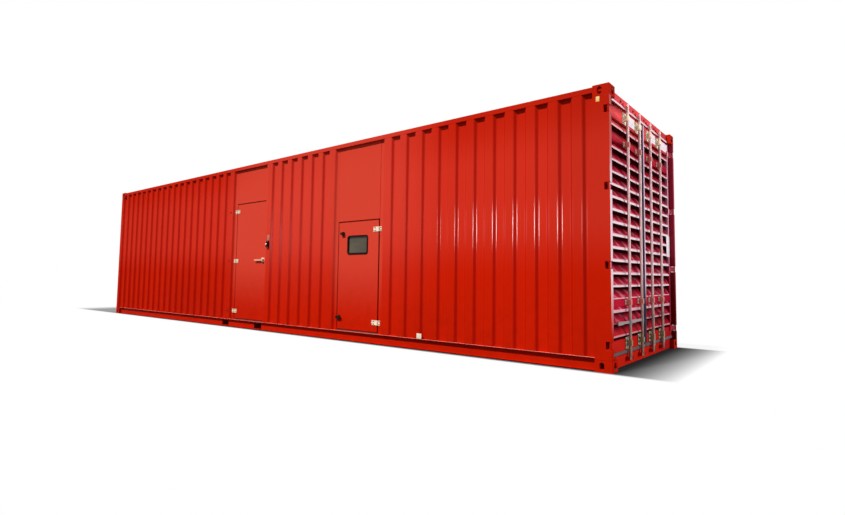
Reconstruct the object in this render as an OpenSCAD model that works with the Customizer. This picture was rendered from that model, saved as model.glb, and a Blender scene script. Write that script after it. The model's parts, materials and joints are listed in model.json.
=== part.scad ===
// Containerised diesel generator set: a 40 ft high-cube steel enclosure with two
// personnel doors in each long side and a pair of louvred doors at the +X end.
// Origin: centre of the footprint, at the level of the corner castings' feet.
// X runs along the length, Z is up, and the near long side faces -Y.

/* [Enclosure] */
// Overall length over the corner castings
box_length = 12192; // [11800:10:12600]
// Overall width over the corner castings
box_width = 2438; // [2400:1:2600]
// Overall height over the corner castings
box_height = 2896; // [2880:1:3100]
// Thickness of the insulated side and end walls
wall_t = 100; // [90:1:120]
// Thickness of the roof
roof_t = 60; // [55:1:80]
// Depth of the shallow troughs pressed into the roof
roof_trough_depth = 20; // [8:1:30]
// Number of troughs across the roof
roof_troughs = 28; // [6:1:32]
// Thickness of the floor plate
floor_t = 28; // [20:1:40]

/* [Corner castings] */
// Length of a corner casting along X
casting_l = 178; // [170:1:190]
// Width of a corner casting along Y
casting_w = 162; // [155:1:170]
// Height of a corner casting
casting_h = 118; // [112:1:124]
// Plate thickness of the casting around its pocket
casting_t = 28; // [24:1:30]
// Length of the twist-lock slot in the top and bottom faces
slot_l = 124; // [118:1:126]
// Width of the twist-lock slot
slot_w = 63.5; // [60:0.5:66]
// Distance of the slots and side holes from the end face
slot_end = 103.5; // [98:0.5:104]
// Distance of the slots and end holes from the side face
slot_side = 89.5; // [84:0.5:92]
// Width of the oval hole in the side faces
side_hole_w = 51; // [46:1:56]
// Width of the oval hole in the end faces
end_hole_w = 63.5; // [58:0.5:68]
// Height of the oval holes in the side and end faces
side_hole_h = 79; // [72:1:84]

/* [Side panels] */
// Depth of the corrugations
recess_depth = 36; // [30:1:40]
// Run of the sloping flank of a corrugation
recess_slope = 32; // [24:1:40]
// Width of a corrugation at the outer face
recess_w = 166; // [140:1:175]
// Recesses left of the first door
recesses_left = 19; // [12:1:20]
// Recesses between the doors
recesses_mid = 6; // [3:1:6]
// Recesses right of the second door
recesses_right = 11; // [6:1:11]
// Outer flat left of each door bay
bay_flat = 130; // [80:5:180]
// Outer flat right of each door bay
bay_flat_right = 150; // [120:5:190]
// Part of the last recess that the door-end post cuts off
last_cut = 49; // [40:1:100]

/* [Rails] */
// Height of the top side rail
top_rail_h = 60; // [50:1:70]
// Width of the top side rail
top_rail_w = 60; // [50:1:80]
// Drop from the castings' top to the top of the rail and roof
roof_drop = 14; // [10:1:40]
// Height of the top flange of the bottom side rail
rail_top = 142; // [136:1:170]
// Gap between the ground and the rail, sills and cross members
rail_lift = 10; // [6:1:16]
// Width of the rail's top flange
rail_flange = 48; // [40:1:60]
// Width of the rail's bottom flange
rail_foot = 30; // [20:1:40]
// Plate thickness of the bottom side rail
rail_t = 6; // [4:0.5:8]
// Number of cross members on each side of the fork pockets and between them
cross_counts = [9, 1, 11];
// Width of a cross member's flanges
cross_flange = 45; // [30:1:60]
// Width of a fork pocket, inside
pocket_w = 210; // [180:5:260]
// Height of a fork pocket, inside
pocket_h = 83; // [70:1:90]
// Position of the first fork pocket along X
pocket_x = -1150; // [-1300:10:-1000]
// Distance between the fork pockets
pocket_pitch = 1050; // [900:10:1200]

/* [Posts] */
// Width of the door-end corner posts along X
door_post_l = 178; // [178:1:200]
// Thickness of the door-end corner posts beside the leaves
door_post_t = 59; // [54:1:64]
// Width of the closed end's corner posts along X
end_post_l = 113; // [105:1:130]

/* [Personnel doors] */
// Left edge of the first door
door1_x = -855; // [-900:5:-800]
// Width of the first door
door1_w = 910; // [800:5:930]
// Height of the first door
door1_h = 2050; // [1900:5:2150]
// Left edge of the second door
door2_x = 1962; // [1930:2:2000]
// Width of the second door
door2_w = 848; // [780:2:870]
// Height of the second door
door2_h = 1560; // [1500:5:1700]
// Height of the doors' lower edges
door_z = 156; // [156:1:180]
// Thickness of the doors
door_t = 50; // [44:1:56]
// Clearance around the doors
door_gap = 8; // [7:0.5:10]
// Width of the stop that the doors close against
door_stop = 20; // [15:1:30]
// Margin between the first bay's flank and its door opening, on the left
bay1_left = 70; // [66:1:90]
// Margin of the second bay, on the left
bay2_left = 47; // [30:1:60]
// Margin of the second bay, on the right
bay2_right = 65; // [62:1:80]
// Width of the window's rubber surround
window_w = 434; // [380:2:460]
// Height of the window's rubber surround
window_h = 274; // [240:2:300]
// Distance of the window from the second door's left edge
window_x = 198; // [180:2:220]
// Distance of the window from the second door's top edge
window_drop = 205; // [190:5:230]
// Visible width of the window's rubber surround
window_rubber = 24; // [18:1:30]
// Radius of the window's corners
window_r = 42; // [34:1:50]

/* [Door fittings] */
// Height of a personnel door hinge
hinge_h = 66; // [60:2:100]
// Radius of the hinge knuckle
knuckle_r = 9; // [7:0.5:10]
// Thickness of the hinge plates
hinge_plate_t = 5; // [4:0.5:6]
// Width of the hinge plate on the first door
hinge1_plate = 72; // [60:2:90]
// Width of the hinge plate on the second door
hinge2_plate = 104; // [80:2:120]
// Radius of the hinge pins
hinge_pin_r = 5; // [4:0.5:6]
// Distance of the outer hinges from the doors' top and bottom edges
hinge_inset = 135; // [100:5:150]
// Length of the first door's lever
lever_l = 230; // [160:5:240]
// Width of the rose plate behind the lever
rose_w = 96; // [90:2:110]
// Height of the rose plate behind the lever
rose_h = 72; // [56:2:90]
// Height of the first door's lever above the ground
lever_z = 1190; // [1100:5:1300]
// Length of the upper black latch on the second door
upper_latch_l = 76; // [66:2:110]
// Length of the lower black latch on the second door
lower_latch_l = 104; // [80:2:106]
// Width of the emergency stop box
estop_w = 62; // [50:1:76]
// Height of the emergency stop box
estop_h = 110; // [90:1:130]
// Depth of the emergency stop box
estop_d = 28; // [20:1:34]
// Radius of the emergency stop button
estop_r = 19; // [16:0.5:24]
// Height of the emergency stop box's centre above the ground
estop_z = 1450; // [1400:5:1500]

/* [Louvred leaves] */
// Distance from the castings' end face to the leaves' outer face
leaf_recess = 56; // [54:1:60]
// Thickness of a leaf
leaf_t = 50; // [44:1:56]
// Lower edge of the leaves
leaf_z = 135; // [133:1:150]
// Clearance above the leaves
leaf_top_gap = 10; // [6:1:20]
// Clearance between a leaf and its post
leaf_side_gap = 5; // [5:0.5:10]
// Half of the gap between the two leaves
leaf_mid_gap = 8; // [8:0.5:15]
// Width of the stile on the hinge side
hinge_stile = 65; // [50:1:80]
// Width of the stile on the closing side
close_stile = 60; // [50:1:75]
// Height of the plain panel at the top of a leaf
top_panel_h = 155; // [130:1:180]
// Height of the slot between the top panel and the upper band
top_slot_h = 189; // [150:1:200]
// Height of the upper band
upper_band_h = 74; // [60:1:90]
// Height of the plain panel at the foot of a leaf
foot_panel_h = 152; // [146:1:200]
// Height of the lower louvre field
low_field_h = 342; // [300:1:380]
// Height of the lower band
low_band_h = 82; // [70:1:100]
// Vertical pitch of the blades
blade_pitch = 132; // [120:0.5:140]
// Height of a full blade
blade_rise = 105; // [90:1:115]
// Height of the upright lip along a blade's lower edge
blade_lip = 18; // [12:1:24]
// Plate thickness of a blade
blade_t = 4; // [3:0.5:6]

/* [Leaf hinges] */
// Number of hinges on each leaf
leaf_hinge_count = 4; // [3:1:5]
// Height of the lowest hinge above the leaf's lower edge
leaf_hinge_low = 130; // [120:5:200]
// Distance of the highest hinge from the leaf's upper edge
leaf_hinge_high = 132; // [80:2:160]
// Half height of a hinge blade
eye_half = 33; // [25:1:36]
// Clearance above and below a hinge blade in its notch
eye_gap = 5; // [5:0.5:8]
// Outer radius of a hinge eye
eye_r = 12; // [11:0.5:12]
// Radius of the hinge pins of the leaves
leaf_pin_r = 8; // [6:0.5:8]
// Setback of the pins from the castings' end face
pin_back = 16; // [14:1:20]

/* [Locking gear] */
// Radius of the lock rods
rod_r = 16; // [13:0.5:17]
// Distance of the inner rods from the middle of the end
rod_inner = 205; // [180:5:230]
// Distance of the outer rods from the middle of the end
rod_outer = 615; // [590:5:650]
// Depth of the drip lip along the header's lower edge
header_lip = 8; // [4:1:9]
// Height of the drip lip
header_lip_h = 22; // [12:1:30]
// Width of the guides' base plates
guide_w = 124; // [90:2:130]
// Height of the base plates of the top and foot guides
guide_h = 126; // [100:2:128]
// Height of the base plates on the two bands
band_guide_h = 60; // [50:2:66]
// Setback of the rods' axes from the castings' end face
rod_back = 20; // [20:0.5:22]
// Running clearance between a rod and its guides
rod_clear = 0.6; // [0.3:0.1:1]
// Reach of a cam from the rod's axis
cam_reach = 40; // [34:1:42]
// Distance of a keeper's cheeks from the rod's axis
keeper_gap = 48; // [46:1:56]
// Thickness of a keeper's cheek
keeper_t = 12; // [8:1:16]
// Length of a lock handle
handle_l = 350; // [300:5:360]
// Thickness of a lock handle
handle_t = 12; // [8:1:14]
// Length of the wider grip at a lock handle's free end
grip_l = 130; // [90:5:160]
// Half height of the grip
grip_half = 19; // [15:1:22]
// Height of the near leaf's handles above the ground
handle_z = 462; // [400:2:500]

/* [Closed end] */
// Half width of the intake louvre bank in the closed end
intake_half = 800; // [600:10:850]
// Lower edge of the intake louvre bank
intake_z = 560; // [400:10:700]
// Number of blades in the intake louvre bank
intake_blades = 13; // [8:1:13]
// Width of the intake bank's frame
intake_frame = 60; // [40:1:80]

/* [Hidden] */

red = "#c82814";
dark_red = "#9a1c0e";
zinc = "#b9b4a2";
black = "#18181a";
rubber_grey = "#2c2c2f";
cut = 1;                                   // overshoot of a cut past the face it opens
half_l = box_length / 2;
half_w = box_width / 2;
casting_in = half_l - casting_l;           // inner faces of the castings along X
top_z = box_height - casting_h;            // underside of the top castings
roof_top = box_height - roof_drop;
rail_z = roof_top - top_rail_h;            // underside of the top rail, top of the walls
floor_z = rail_top;
inner_y = half_w - wall_t;                 // inner face of the side walls
bay_y = half_w - recess_depth;             // outer face of the door bays and the doors
web_y = half_w - rail_flange;              // inner face of the bottom rail's web
post_x = half_l - door_post_l;
end_post_x = -half_l + end_post_l;

door1_r = door1_x + door1_w;
door2_r = door2_x + door2_w;
open1 = [door1_x - door_gap, door1_r + door_gap];
open2 = [door2_x - door_gap, door2_r + door_gap];
bay1 = [open1[0] - bay1_left - recess_slope, open1[1] + recess_slope];
bay2 = [open2[0] - bay2_left - recess_slope, open2[1] + bay2_right + recess_slope];
door_tops = [door_z + door1_h, door_z + door2_h];
stop_y = bay_y - door_t - 5;               // outer face of the door stops
threshold_t = 8;

// Left edges of the recesses, evenly spread between the posts and the door bays
left_first = end_post_x;
left_last = bay1[0] - bay_flat - recess_w;
left_pitch = (left_last - left_first) / (recesses_left - 1);
mid_first = bay1[1] + bay_flat_right;
mid_last = bay2[0] - bay_flat - recess_w;
mid_pitch = (mid_last - mid_first) / (recesses_mid - 1);
right_first = bay2[1] + bay_flat_right - 15;
right_last = post_x + last_cut - recess_w;
right_pitch = (right_last - right_first) / (recesses_right - 1);

leaf_x = half_l - leaf_recess;             // outer face of the leaves
leaf_in = leaf_x - leaf_t;
leaf_top = top_z - leaf_top_gap;
leaf_edge = half_w - door_post_t - leaf_side_gap;
leaf_hinge_step = (leaf_top - leaf_hinge_high - leaf_z - leaf_hinge_low) / (leaf_hinge_count - 1);
leaf_hinges = [for (k = [0 : leaf_hinge_count - 1]) leaf_z + leaf_hinge_low + k * leaf_hinge_step];
header_x = leaf_x + 6;                     // outer face of the header and the sill
sill_top = leaf_z - 10;
pin_x = half_l - pin_back;
pin_y = half_w - eye_r;
notch_x = leaf_x - 4;
rod_x = half_l - rod_back;
low_field_z = leaf_z + foot_panel_h;
low_band_z = low_field_z + low_field_h;
main_field_z = low_band_z + low_band_h;
top_panel_z = leaf_top - top_panel_h;
upper_band_z = top_panel_z - top_slot_h - upper_band_h;

// ---------- shared shapes ----------

// A box given by its two opposite corners
module block(a, b) {
    translate(a) cube(b - a);
}

// The same shape on the near and the far side
module both_sides() {
    children();
    mirror([0, 1, 0]) children();
}

// An upright oval hole along Y, w wide and h high, centred on the origin
module oval_y(w, h, length) {
    rotate([90, 0, 0]) union() {
        for (s = [-1, 1]) translate([0, s * (h - w) / 2, 0])
            cylinder(h = length, d = w, center = true, $fn = 48);
        cube([w, h - w, length], center = true);
    }
}

// A slot along X in a horizontal plate, centred on the origin
module slot_z(length, w, t) {
    for (s = [-1, 1]) translate([s * (length - w) / 2, 0, 0])
        cylinder(h = t, d = w, center = true, $fn = 48);
    cube([length - w, w, t], center = true);
}

// A rounded rectangle in the XZ plane, extruded along Y from y0 to y1
module round_plate(x, z, w, h, r, y0, y1) {
    translate([x + w / 2, y1, z + h / 2]) rotate([90, 0, 0]) linear_extrude(y1 - y0) {
        square([w - 2 * r, h], center = true);
        square([w, h - 2 * r], center = true);
        for (sx = [-1, 1], sz = [-1, 1])
            translate([sx * (w / 2 - r), sz * (h / 2 - r)]) circle(r = r, $fn = 48);
    }
}

// ---------- corner castings ----------

// One casting with its lower outer corner at the origin, reaching along +X, +Y and +Z
module casting(slot_at_top) {
    face_z = slot_at_top ? casting_h : 0;
    difference() {
        cube([casting_l, casting_w, casting_h]);
        block([casting_t, casting_t, casting_t],
            [casting_l - casting_t, casting_w - casting_t, casting_h - casting_t]);
        translate([slot_end, slot_side, face_z])
            slot_z(slot_l, slot_w, 2 * casting_t + 2 * cut);
        translate([slot_end, 0, casting_h / 2])
            oval_y(side_hole_w, side_hole_h, 2 * casting_t + 2 * cut);
        translate([0, slot_side, casting_h / 2]) rotate([0, 0, 90])
            oval_y(end_hole_w, side_hole_h, 2 * casting_t + 2 * cut);
    }
}

module casting_set(z, slot_at_top) {
    for (mx = [0, 1], my = [0, 1])
        mirror([mx, 0, 0]) mirror([0, my, 0])
            translate([-half_l, -half_w, z]) casting(slot_at_top);
}

module bottom_castings() {
    color(red) casting_set(0, false);
}

module top_castings() {
    color(red) casting_set(top_z, true);
}

// ---------- frame ----------

module door_end_post() {
    difference() {
        translate([0, 0, casting_h]) linear_extrude(top_z - casting_h) polygon([
            [post_x, -half_w], [half_l, -half_w], [half_l, -half_w + door_post_t],
            [leaf_in - 5, -half_w + door_post_t], [leaf_in - 5, -inner_y], [post_x, -inner_y]]);
        for (z = leaf_hinges) {
            block([notch_x, -half_w - cut, z - eye_half - eye_gap],
                [half_l + cut, -half_w + door_post_t + cut, z + eye_half + eye_gap]);
            translate([pin_x, -pin_y, z]) cylinder(h = 4 * eye_half, r = leaf_pin_r + 0.1,
                center = true, $fn = 48);
        }
    }
}

module door_end_posts() {
    color(red) both_sides() door_end_post();
}

module closed_end_posts() {
    color(red) both_sides()
        block([-half_l, -half_w, casting_h], [end_post_x, -inner_y, top_z]);
}

module bottom_rail() {
    difference() {
        translate([-casting_in, 0, 0]) rotate([90, 0, 90]) linear_extrude(2 * casting_in) polygon([
            [-half_w, rail_top], [-half_w, rail_top - rail_t], [-web_y - rail_t, rail_top - rail_t],
            [-web_y - rail_t, rail_lift + rail_t], [-web_y - rail_foot, rail_lift + rail_t],
            [-web_y - rail_foot, rail_lift], [-web_y, rail_lift], [-web_y, rail_top]]);
        for (x = [pocket_x, pocket_x + pocket_pitch])
            block([x - pocket_w / 2 - rail_t, -web_y - rail_t - cut, rail_lift + rail_t],
                [x + pocket_w / 2 + rail_t, -web_y + cut, rail_lift + 3 * rail_t + pocket_h]);
    }
}

module bottom_side_rails() {
    color(red) both_sides() bottom_rail();
}

module top_side_rails() {
    color(red) both_sides()
        block([-casting_in, -half_w, rail_z], [casting_in, -half_w + top_rail_w, roof_top]);
}

module door_header() {
    color(red) union() {
        block([casting_in, -half_w + casting_w, top_z], [header_x, half_w - casting_w, box_height - 6]);
        block([header_x - cut, -half_w + casting_w, top_z],
            [header_x + header_lip, half_w - casting_w, top_z + header_lip_h]);
    }
}

module door_sill() {
    color(red)
        block([casting_in, -half_w + casting_w, rail_lift], [header_x, half_w - casting_w, sill_top]);
}

module closed_end_rails() {
    color(red) {
        block([-half_l + 6, -half_w + casting_w, top_z], [-casting_in, half_w - casting_w, box_height - 6]);
        block([-half_l + 6, -half_w + casting_w, rail_lift], [-casting_in, half_w - casting_w, rail_top]);
    }
}

// A channel across the frame between the bottom rails' webs, open towards +X
module cross_member(x) {
    translate([x, web_y, 0]) rotate([90, 0, 0]) linear_extrude(2 * web_y) polygon([
        [0, rail_lift + 10], [cross_flange, rail_lift + 10], [cross_flange, rail_lift + 10 + rail_t],
        [rail_t, rail_lift + 10 + rail_t], [rail_t, rail_top - rail_t],
        [cross_flange, rail_top - rail_t], [cross_flange, rail_top], [0, rail_top]]);
}

module cross_members() {
    pocket_half = pocket_w / 2 + rail_t;
    spans = [[-casting_in, pocket_x - pocket_half],
        [pocket_x + pocket_half, pocket_x + pocket_pitch - pocket_half],
        [pocket_x + pocket_pitch + pocket_half, casting_in]];
    color(dark_red) for (s = [0, 1, 2]) {
        step = (spans[s][1] - spans[s][0]) / (cross_counts[s] + 1);
        for (k = [1 : cross_counts[s]]) cross_member(spans[s][0] + k * step - cross_flange / 2);
    }
}

module fork_pockets() {
    color(dark_red) for (x = [pocket_x, pocket_x + pocket_pitch]) difference() {
        block([x - pocket_w / 2 - rail_t, -web_y - rail_t, rail_lift + rail_t],
            [x + pocket_w / 2 + rail_t, web_y + rail_t, rail_lift + 3 * rail_t + pocket_h]);
        block([x - pocket_w / 2, -half_w, rail_lift + 2 * rail_t],
            [x + pocket_w / 2, half_w, rail_lift + 2 * rail_t + pocket_h]);
    }
}

module floor_plate() {
    color("#5a5750") union() {
        block([-casting_in, -inner_y, floor_z], [casting_in, inner_y, floor_z + floor_t]);
        for (o = [open1, open2]) both_sides() {
            block([o[0], -bay_y, floor_z], [o[1], -stop_y, floor_z + threshold_t]);
            block([o[0] + door_stop, -stop_y - cut, floor_z],
                [o[1] - door_stop, -inner_y + cut, floor_z + threshold_t]);
        }
    }
}

module roof_panel() {
    step = 2 * casting_in / roof_troughs;
    trough = step / 2;
    points = [for (k = [0 : roof_troughs - 1]) let (x = -casting_in + (k + 0.25) * step)
        each [[x, roof_top], [x + roof_trough_depth, roof_top - roof_trough_depth],
            [x + trough - roof_trough_depth, roof_top - roof_trough_depth], [x + trough, roof_top]]];
    color(red) translate([0, half_w - top_rail_w, 0]) rotate([90, 0, 0])
        linear_extrude(2 * (half_w - top_rail_w)) polygon(concat(
            [[-casting_in, roof_top - roof_t], [-casting_in, roof_top]], points,
            [[casting_in, roof_top], [casting_in, roof_top - roof_t]]));
}

// ---------- side walls ----------

// Outline points of one recess whose left edge is at x
function dip(x) = [[x, -half_w], [x + recess_slope, -bay_y],
    [x + recess_w - recess_slope, -bay_y], [x + recess_w, -half_w]];
function dips(first, pitch, count) = [for (k = [0 : count - 1]) each dip(first + k * pitch)];

left_outline = concat(
    dips(left_first, left_pitch, recesses_left),
    [[bay1[0], -half_w], [bay1[0] + recess_slope, -bay_y], [open1[0], -bay_y],
        [open1[0], -stop_y], [open1[0] + door_stop, -stop_y], [open1[0] + door_stop, -inner_y],
        [left_first, -inner_y]]);

middle_outline = concat(
    [[open1[1] - door_stop, -inner_y], [open1[1] - door_stop, -stop_y], [open1[1], -stop_y],
        [open1[1], -bay_y], [bay1[1], -half_w]],
    dips(mid_first, mid_pitch, recesses_mid),
    [[bay2[0], -half_w], [bay2[0] + recess_slope, -bay_y], [open2[0], -bay_y],
        [open2[0], -stop_y], [open2[0] + door_stop, -stop_y], [open2[0] + door_stop, -inner_y]]);

right_outline = concat(
    [[open2[1] - door_stop, -inner_y], [open2[1] - door_stop, -stop_y], [open2[1], -stop_y],
        [open2[1], -bay_y], [bay2[1] - recess_slope, -bay_y], [bay2[1], -half_w]],
    dips(right_first, right_pitch, recesses_right - 1),
    [[right_last, -half_w], [right_last + recess_slope, -bay_y], [post_x, -bay_y],
        [post_x, -inner_y]]);

module wall_stretch(outline) {
    difference() {
        translate([0, 0, rail_top]) linear_extrude(rail_z - rail_top) polygon(outline);
        block([-half_l, -half_w - cut, top_z], [-casting_in, -half_w + casting_w, box_height]);
    }
}

// The panel over a doorway, with the stop along its lower edge
module over_door(o, top) {
    union() {
        block([o[0], -bay_y, top + door_gap], [o[1], -stop_y, rail_z]);
        block([o[0] + door_stop, -stop_y - cut, top - door_stop], [o[1] - door_stop, -inner_y, rail_z]);
    }
}

module near_wall_left() {
    color(red) wall_stretch(left_outline);
}

module near_wall_middle() {
    color(red) wall_stretch(middle_outline);
}

module near_wall_right() {
    color(red) wall_stretch(right_outline);
}

module over_door_panel(o, top) {
    difference() {
        over_door(o, top);
        block([o[0] + door_stop, -stop_y - 2 * cut, top - door_stop - cut],
            [o[1] - door_stop, -stop_y, top + door_gap]);
    }
}

module near_wall_over_door_1() {
    color(red) over_door_panel(open1, door_tops[0]);
}

module near_wall_over_door_2() {
    color(red) over_door_panel(open2, door_tops[1]);
}

module far_wall() {
    color(red) mirror([0, 1, 0]) union() {
        wall_stretch(left_outline);
        wall_stretch(middle_outline);
        wall_stretch(right_outline);
        over_door_panel(open1, door_tops[0]);
        over_door_panel(open2, door_tops[1]);
    }
}

// ---------- personnel doors ----------

window_left = door2_x + window_x;
window_low = door_tops[1] - window_drop - window_h;
rubber_in = window_rubber;
hole_in = window_rubber / 2;

module door_slab(x, w, h) {
    block([x, -bay_y, door_z], [x + w, -bay_y + door_t, door_z + h]);
}

module windowed_slab() {
    difference() {
        door_slab(door2_x, door2_w, door2_h);
        round_plate(window_left + hole_in, window_low + hole_in, window_w - 2 * hole_in,
            window_h - 2 * hole_in, window_r - hole_in, -bay_y - cut, -bay_y + door_t + cut);
    }
}

module window_surround() {
    difference() {
        union() {
            round_plate(window_left, window_low, window_w, window_h, window_r, -bay_y - 7, -bay_y);
            round_plate(window_left + hole_in, window_low + hole_in, window_w - 2 * hole_in,
                window_h - 2 * hole_in, window_r - hole_in, -bay_y - cut, -bay_y + door_t);
        }
        round_plate(window_left + rubber_in, window_low + rubber_in, window_w - 2 * rubber_in,
            window_h - 2 * rubber_in, window_r - rubber_in, -bay_y - 7 - cut, -bay_y + door_t + cut);
    }
}

module window_pane() {
    round_plate(window_left + rubber_in, window_low + rubber_in, window_w - 2 * rubber_in,
        window_h - 2 * rubber_in, window_r - rubber_in, -bay_y + 10, -bay_y + 18);
}

module side_door_1() {
    color(red) door_slab(door1_x, door1_w, door1_h);
}

module side_door_2() {
    color(red) windowed_slab();
}

module window_rubber_frame() {
    color(black) window_surround();
}

module window_glass() {
    color("#4d5548") window_pane();
}

// Hinge axes stand in front of the bay, over the gap between door and bay
hinge1_axis = [door1_x - door_gap / 2, -bay_y - hinge_plate_t - knuckle_r + 2];
hinge2_axis = [door2_r + door_gap / 2, -bay_y - hinge_plate_t - knuckle_r + 2];
hinges1 = [door_z + hinge_inset, door_z + door1_h / 2, door_tops[0] - hinge_inset];
hinges2 = [door_z + hinge_inset, door_tops[1] - hinge_inset];
knuckle_h = hinge_h / 3;

// The moving half: the middle knuckle and its plate, which reaches along side (1 is +X)
module moving_half(axis, z, side, plate) {
    difference() {
        union() {
            translate([axis[0], axis[1], z]) cylinder(h = knuckle_h - 1, r = knuckle_r,
                center = true, $fn = 40);
            hinge_web(axis, z, side, knuckle_h - 1);
            hinge_plate(axis, z, side, plate);
        }
        translate([axis[0], axis[1], z]) cylinder(h = hinge_h, r = hinge_pin_r + 0.3,
            center = true, $fn = 40);
    }
}

// The fixed half: the outer knuckles, the pin and the plate on the bay
module fixed_half(axis, z, side, plate) {
    union() {
        for (s = [-1, 1]) translate([axis[0], axis[1], z + s * knuckle_h]) {
            cylinder(h = knuckle_h, r = knuckle_r, center = true, $fn = 40);
        }
        for (s = [-1, 1]) hinge_web(axis, z + s * knuckle_h, side, knuckle_h);
        translate([axis[0], axis[1], z]) cylinder(h = hinge_h, r = hinge_pin_r,
            center = true, $fn = 40);
        hinge_plate(axis, z, side, plate);
    }
}

// The bridge from a knuckle to its plate
module hinge_web(axis, z, side, h) {
    x0 = side > 0 ? axis[0] : axis[0] - knuckle_r - 8;
    block([x0, -bay_y - hinge_plate_t - 3, z - h / 2],
        [x0 + knuckle_r + 8, -bay_y - 3, z + h / 2]);
}

// The flat plate, which starts clear of the knuckle's swing
module hinge_plate(axis, z, side, plate) {
    inset = knuckle_r + 3;
    x0 = side > 0 ? axis[0] + inset : axis[0] - inset - plate;
    block([x0, -bay_y - hinge_plate_t, z - hinge_h / 2], [x0 + plate, -bay_y, z + hinge_h / 2]);
}

fixed1_plate = bay1_left - knuckle_r - 10;
fixed2_plate = 36;

module door_1_fittings() {
    color(zinc) {
        for (z = hinges1) moving_half(hinge1_axis, z, 1, hinge1_plate);
        lever_plate();
    }
}

module door_2_fittings() {
    color(zinc) for (z = hinges2) moving_half(hinge2_axis, z, -1, hinge2_plate);
}

module side_door_hinge_plates() {
    color(zinc) {
        for (z = hinges1) fixed_half(hinge1_axis, z, -1, fixed1_plate);
        for (z = hinges2) fixed_half(hinge2_axis, z, 1, fixed2_plate);
    }
}

lever_x = door1_r - 32;
lever_plate_t = 5;
spindle_r = 9;

module lever_plate() {
    difference() {
        round_plate(door1_r - 4 - rose_w, lever_z - rose_h / 2, rose_w, rose_h, rose_h / 3,
            -bay_y - lever_plate_t, -bay_y);
        translate([lever_x, -bay_y, lever_z]) rotate([90, 0, 0])
            cylinder(h = 3 * lever_plate_t, r = spindle_r + 0.3, center = true, $fn = 40);
    }
}

// The lever points to the hinge side and has a round boss on its spindle
module lever() {
    out = half_w - bay_y - 1;
    union() {
        translate([lever_x, -bay_y, lever_z]) rotate([90, 0, 0])
            cylinder(h = out - 12, r = spindle_r, $fn = 40);
        translate([lever_x, -bay_y - lever_plate_t - 2, lever_z]) rotate([90, 0, 0])
            cylinder(h = out - lever_plate_t - 2, r = 22, $fn = 40);
        block([lever_x - lever_l, -bay_y - out, lever_z - 11], [lever_x, -bay_y - out + 13, lever_z + 11]);
        translate([lever_x - lever_l, -bay_y - out + 13, lever_z]) rotate([90, 0, 0])
            cylinder(h = 13, r = 11, $fn = 40);
    }
}

module door_1_lever() {
    color(zinc) lever();
}

latch_xs = [door2_x + 110, door2_x + 54];
latch_half = 19;
latch_heights = [door_tops[1] - 172, door_z + 174];

// A black wing latch on a round rose
module wing_latch(x, z, length) {
    out = half_w - bay_y - 2;
    union() {
        translate([x, -bay_y, z]) rotate([90, 0, 0]) cylinder(h = out - 14, r = 29, $fn = 48);
        block([x - length / 2 + latch_half, -bay_y - out, z - latch_half],
            [x + length / 2 - latch_half, -bay_y - out + 14 + cut, z + latch_half]);
        for (s = [-1, 1]) translate([x + s * (length / 2 - latch_half), -bay_y - out + 14 + cut, z])
            rotate([90, 0, 0]) cylinder(h = 14 + cut, r = latch_half, $fn = 48);
    }
}

module upper_latch() {
    color(black) wing_latch(latch_xs[0], latch_heights[0], upper_latch_l);
}

module lower_latch() {
    color(black) wing_latch(latch_xs[1], latch_heights[1], lower_latch_l);
}

// ---------- emergency stop ----------

stop_x = mid_first - 50;
button_gap = 7;
stem_r = 11;

module stop_case() {
    difference() {
        block([stop_x - estop_w / 2, -half_w - estop_d, estop_z - estop_h / 2],
            [stop_x + estop_w / 2, -half_w, estop_z + estop_h / 2]);
        translate([stop_x, -half_w - estop_d, estop_z]) rotate([90, 0, 0])
            cylinder(h = 2 * (estop_d - 6), r = stem_r + 0.3, center = true, $fn = 40);
    }
}

module stop_push() {
    translate([stop_x, -half_w - estop_d, estop_z]) rotate([90, 0, 0]) union() {
        translate([0, 0, -12]) cylinder(h = 12 + button_gap + 1, r = stem_r, $fn = 40);
        translate([0, 0, button_gap]) cylinder(h = 8, r = estop_r, $fn = 48);
        translate([0, 0, button_gap + 8]) cylinder(h = 4, r = estop_r - 4, $fn = 48);
    }
}

module stop_box() {
    color(black) stop_case();
}

module stop_button() {
    color("#d8c8c0") stop_push();
}

// ---------- far side ----------

module far_side_doors() {
    color(red) mirror([0, 1, 0]) {
        door_slab(door1_x, door1_w, door1_h);
        union() {
            windowed_slab();
            window_pane();
            window_surround();
        }
    }
}

module far_door_fittings() {
    color(zinc) mirror([0, 1, 0]) {
        for (z = hinges1) union() {
            moving_half(hinge1_axis, z, 1, hinge1_plate);
            fixed_half(hinge1_axis, z, -1, fixed1_plate);
        }
        for (z = hinges2) union() {
            moving_half(hinge2_axis, z, -1, hinge2_plate);
            fixed_half(hinge2_axis, z, 1, fixed2_plate);
        }
        union() {
            lever_plate();
            lever();
        }
        wing_latch(latch_xs[0], latch_heights[0], upper_latch_l);
        wing_latch(latch_xs[1], latch_heights[1], lower_latch_l);
        union() {
            stop_case();
            stop_push();
        }
    }
}

// ---------- closed end ----------

end_face = -half_l + 6;
end_in = end_face + wall_t;
intake_top = intake_z + 2 * intake_frame + intake_blades * blade_pitch;
end_recesses = 8;
end_pitch = (2 * (inner_y - 30) - recess_w) / (end_recesses - 1);

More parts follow.
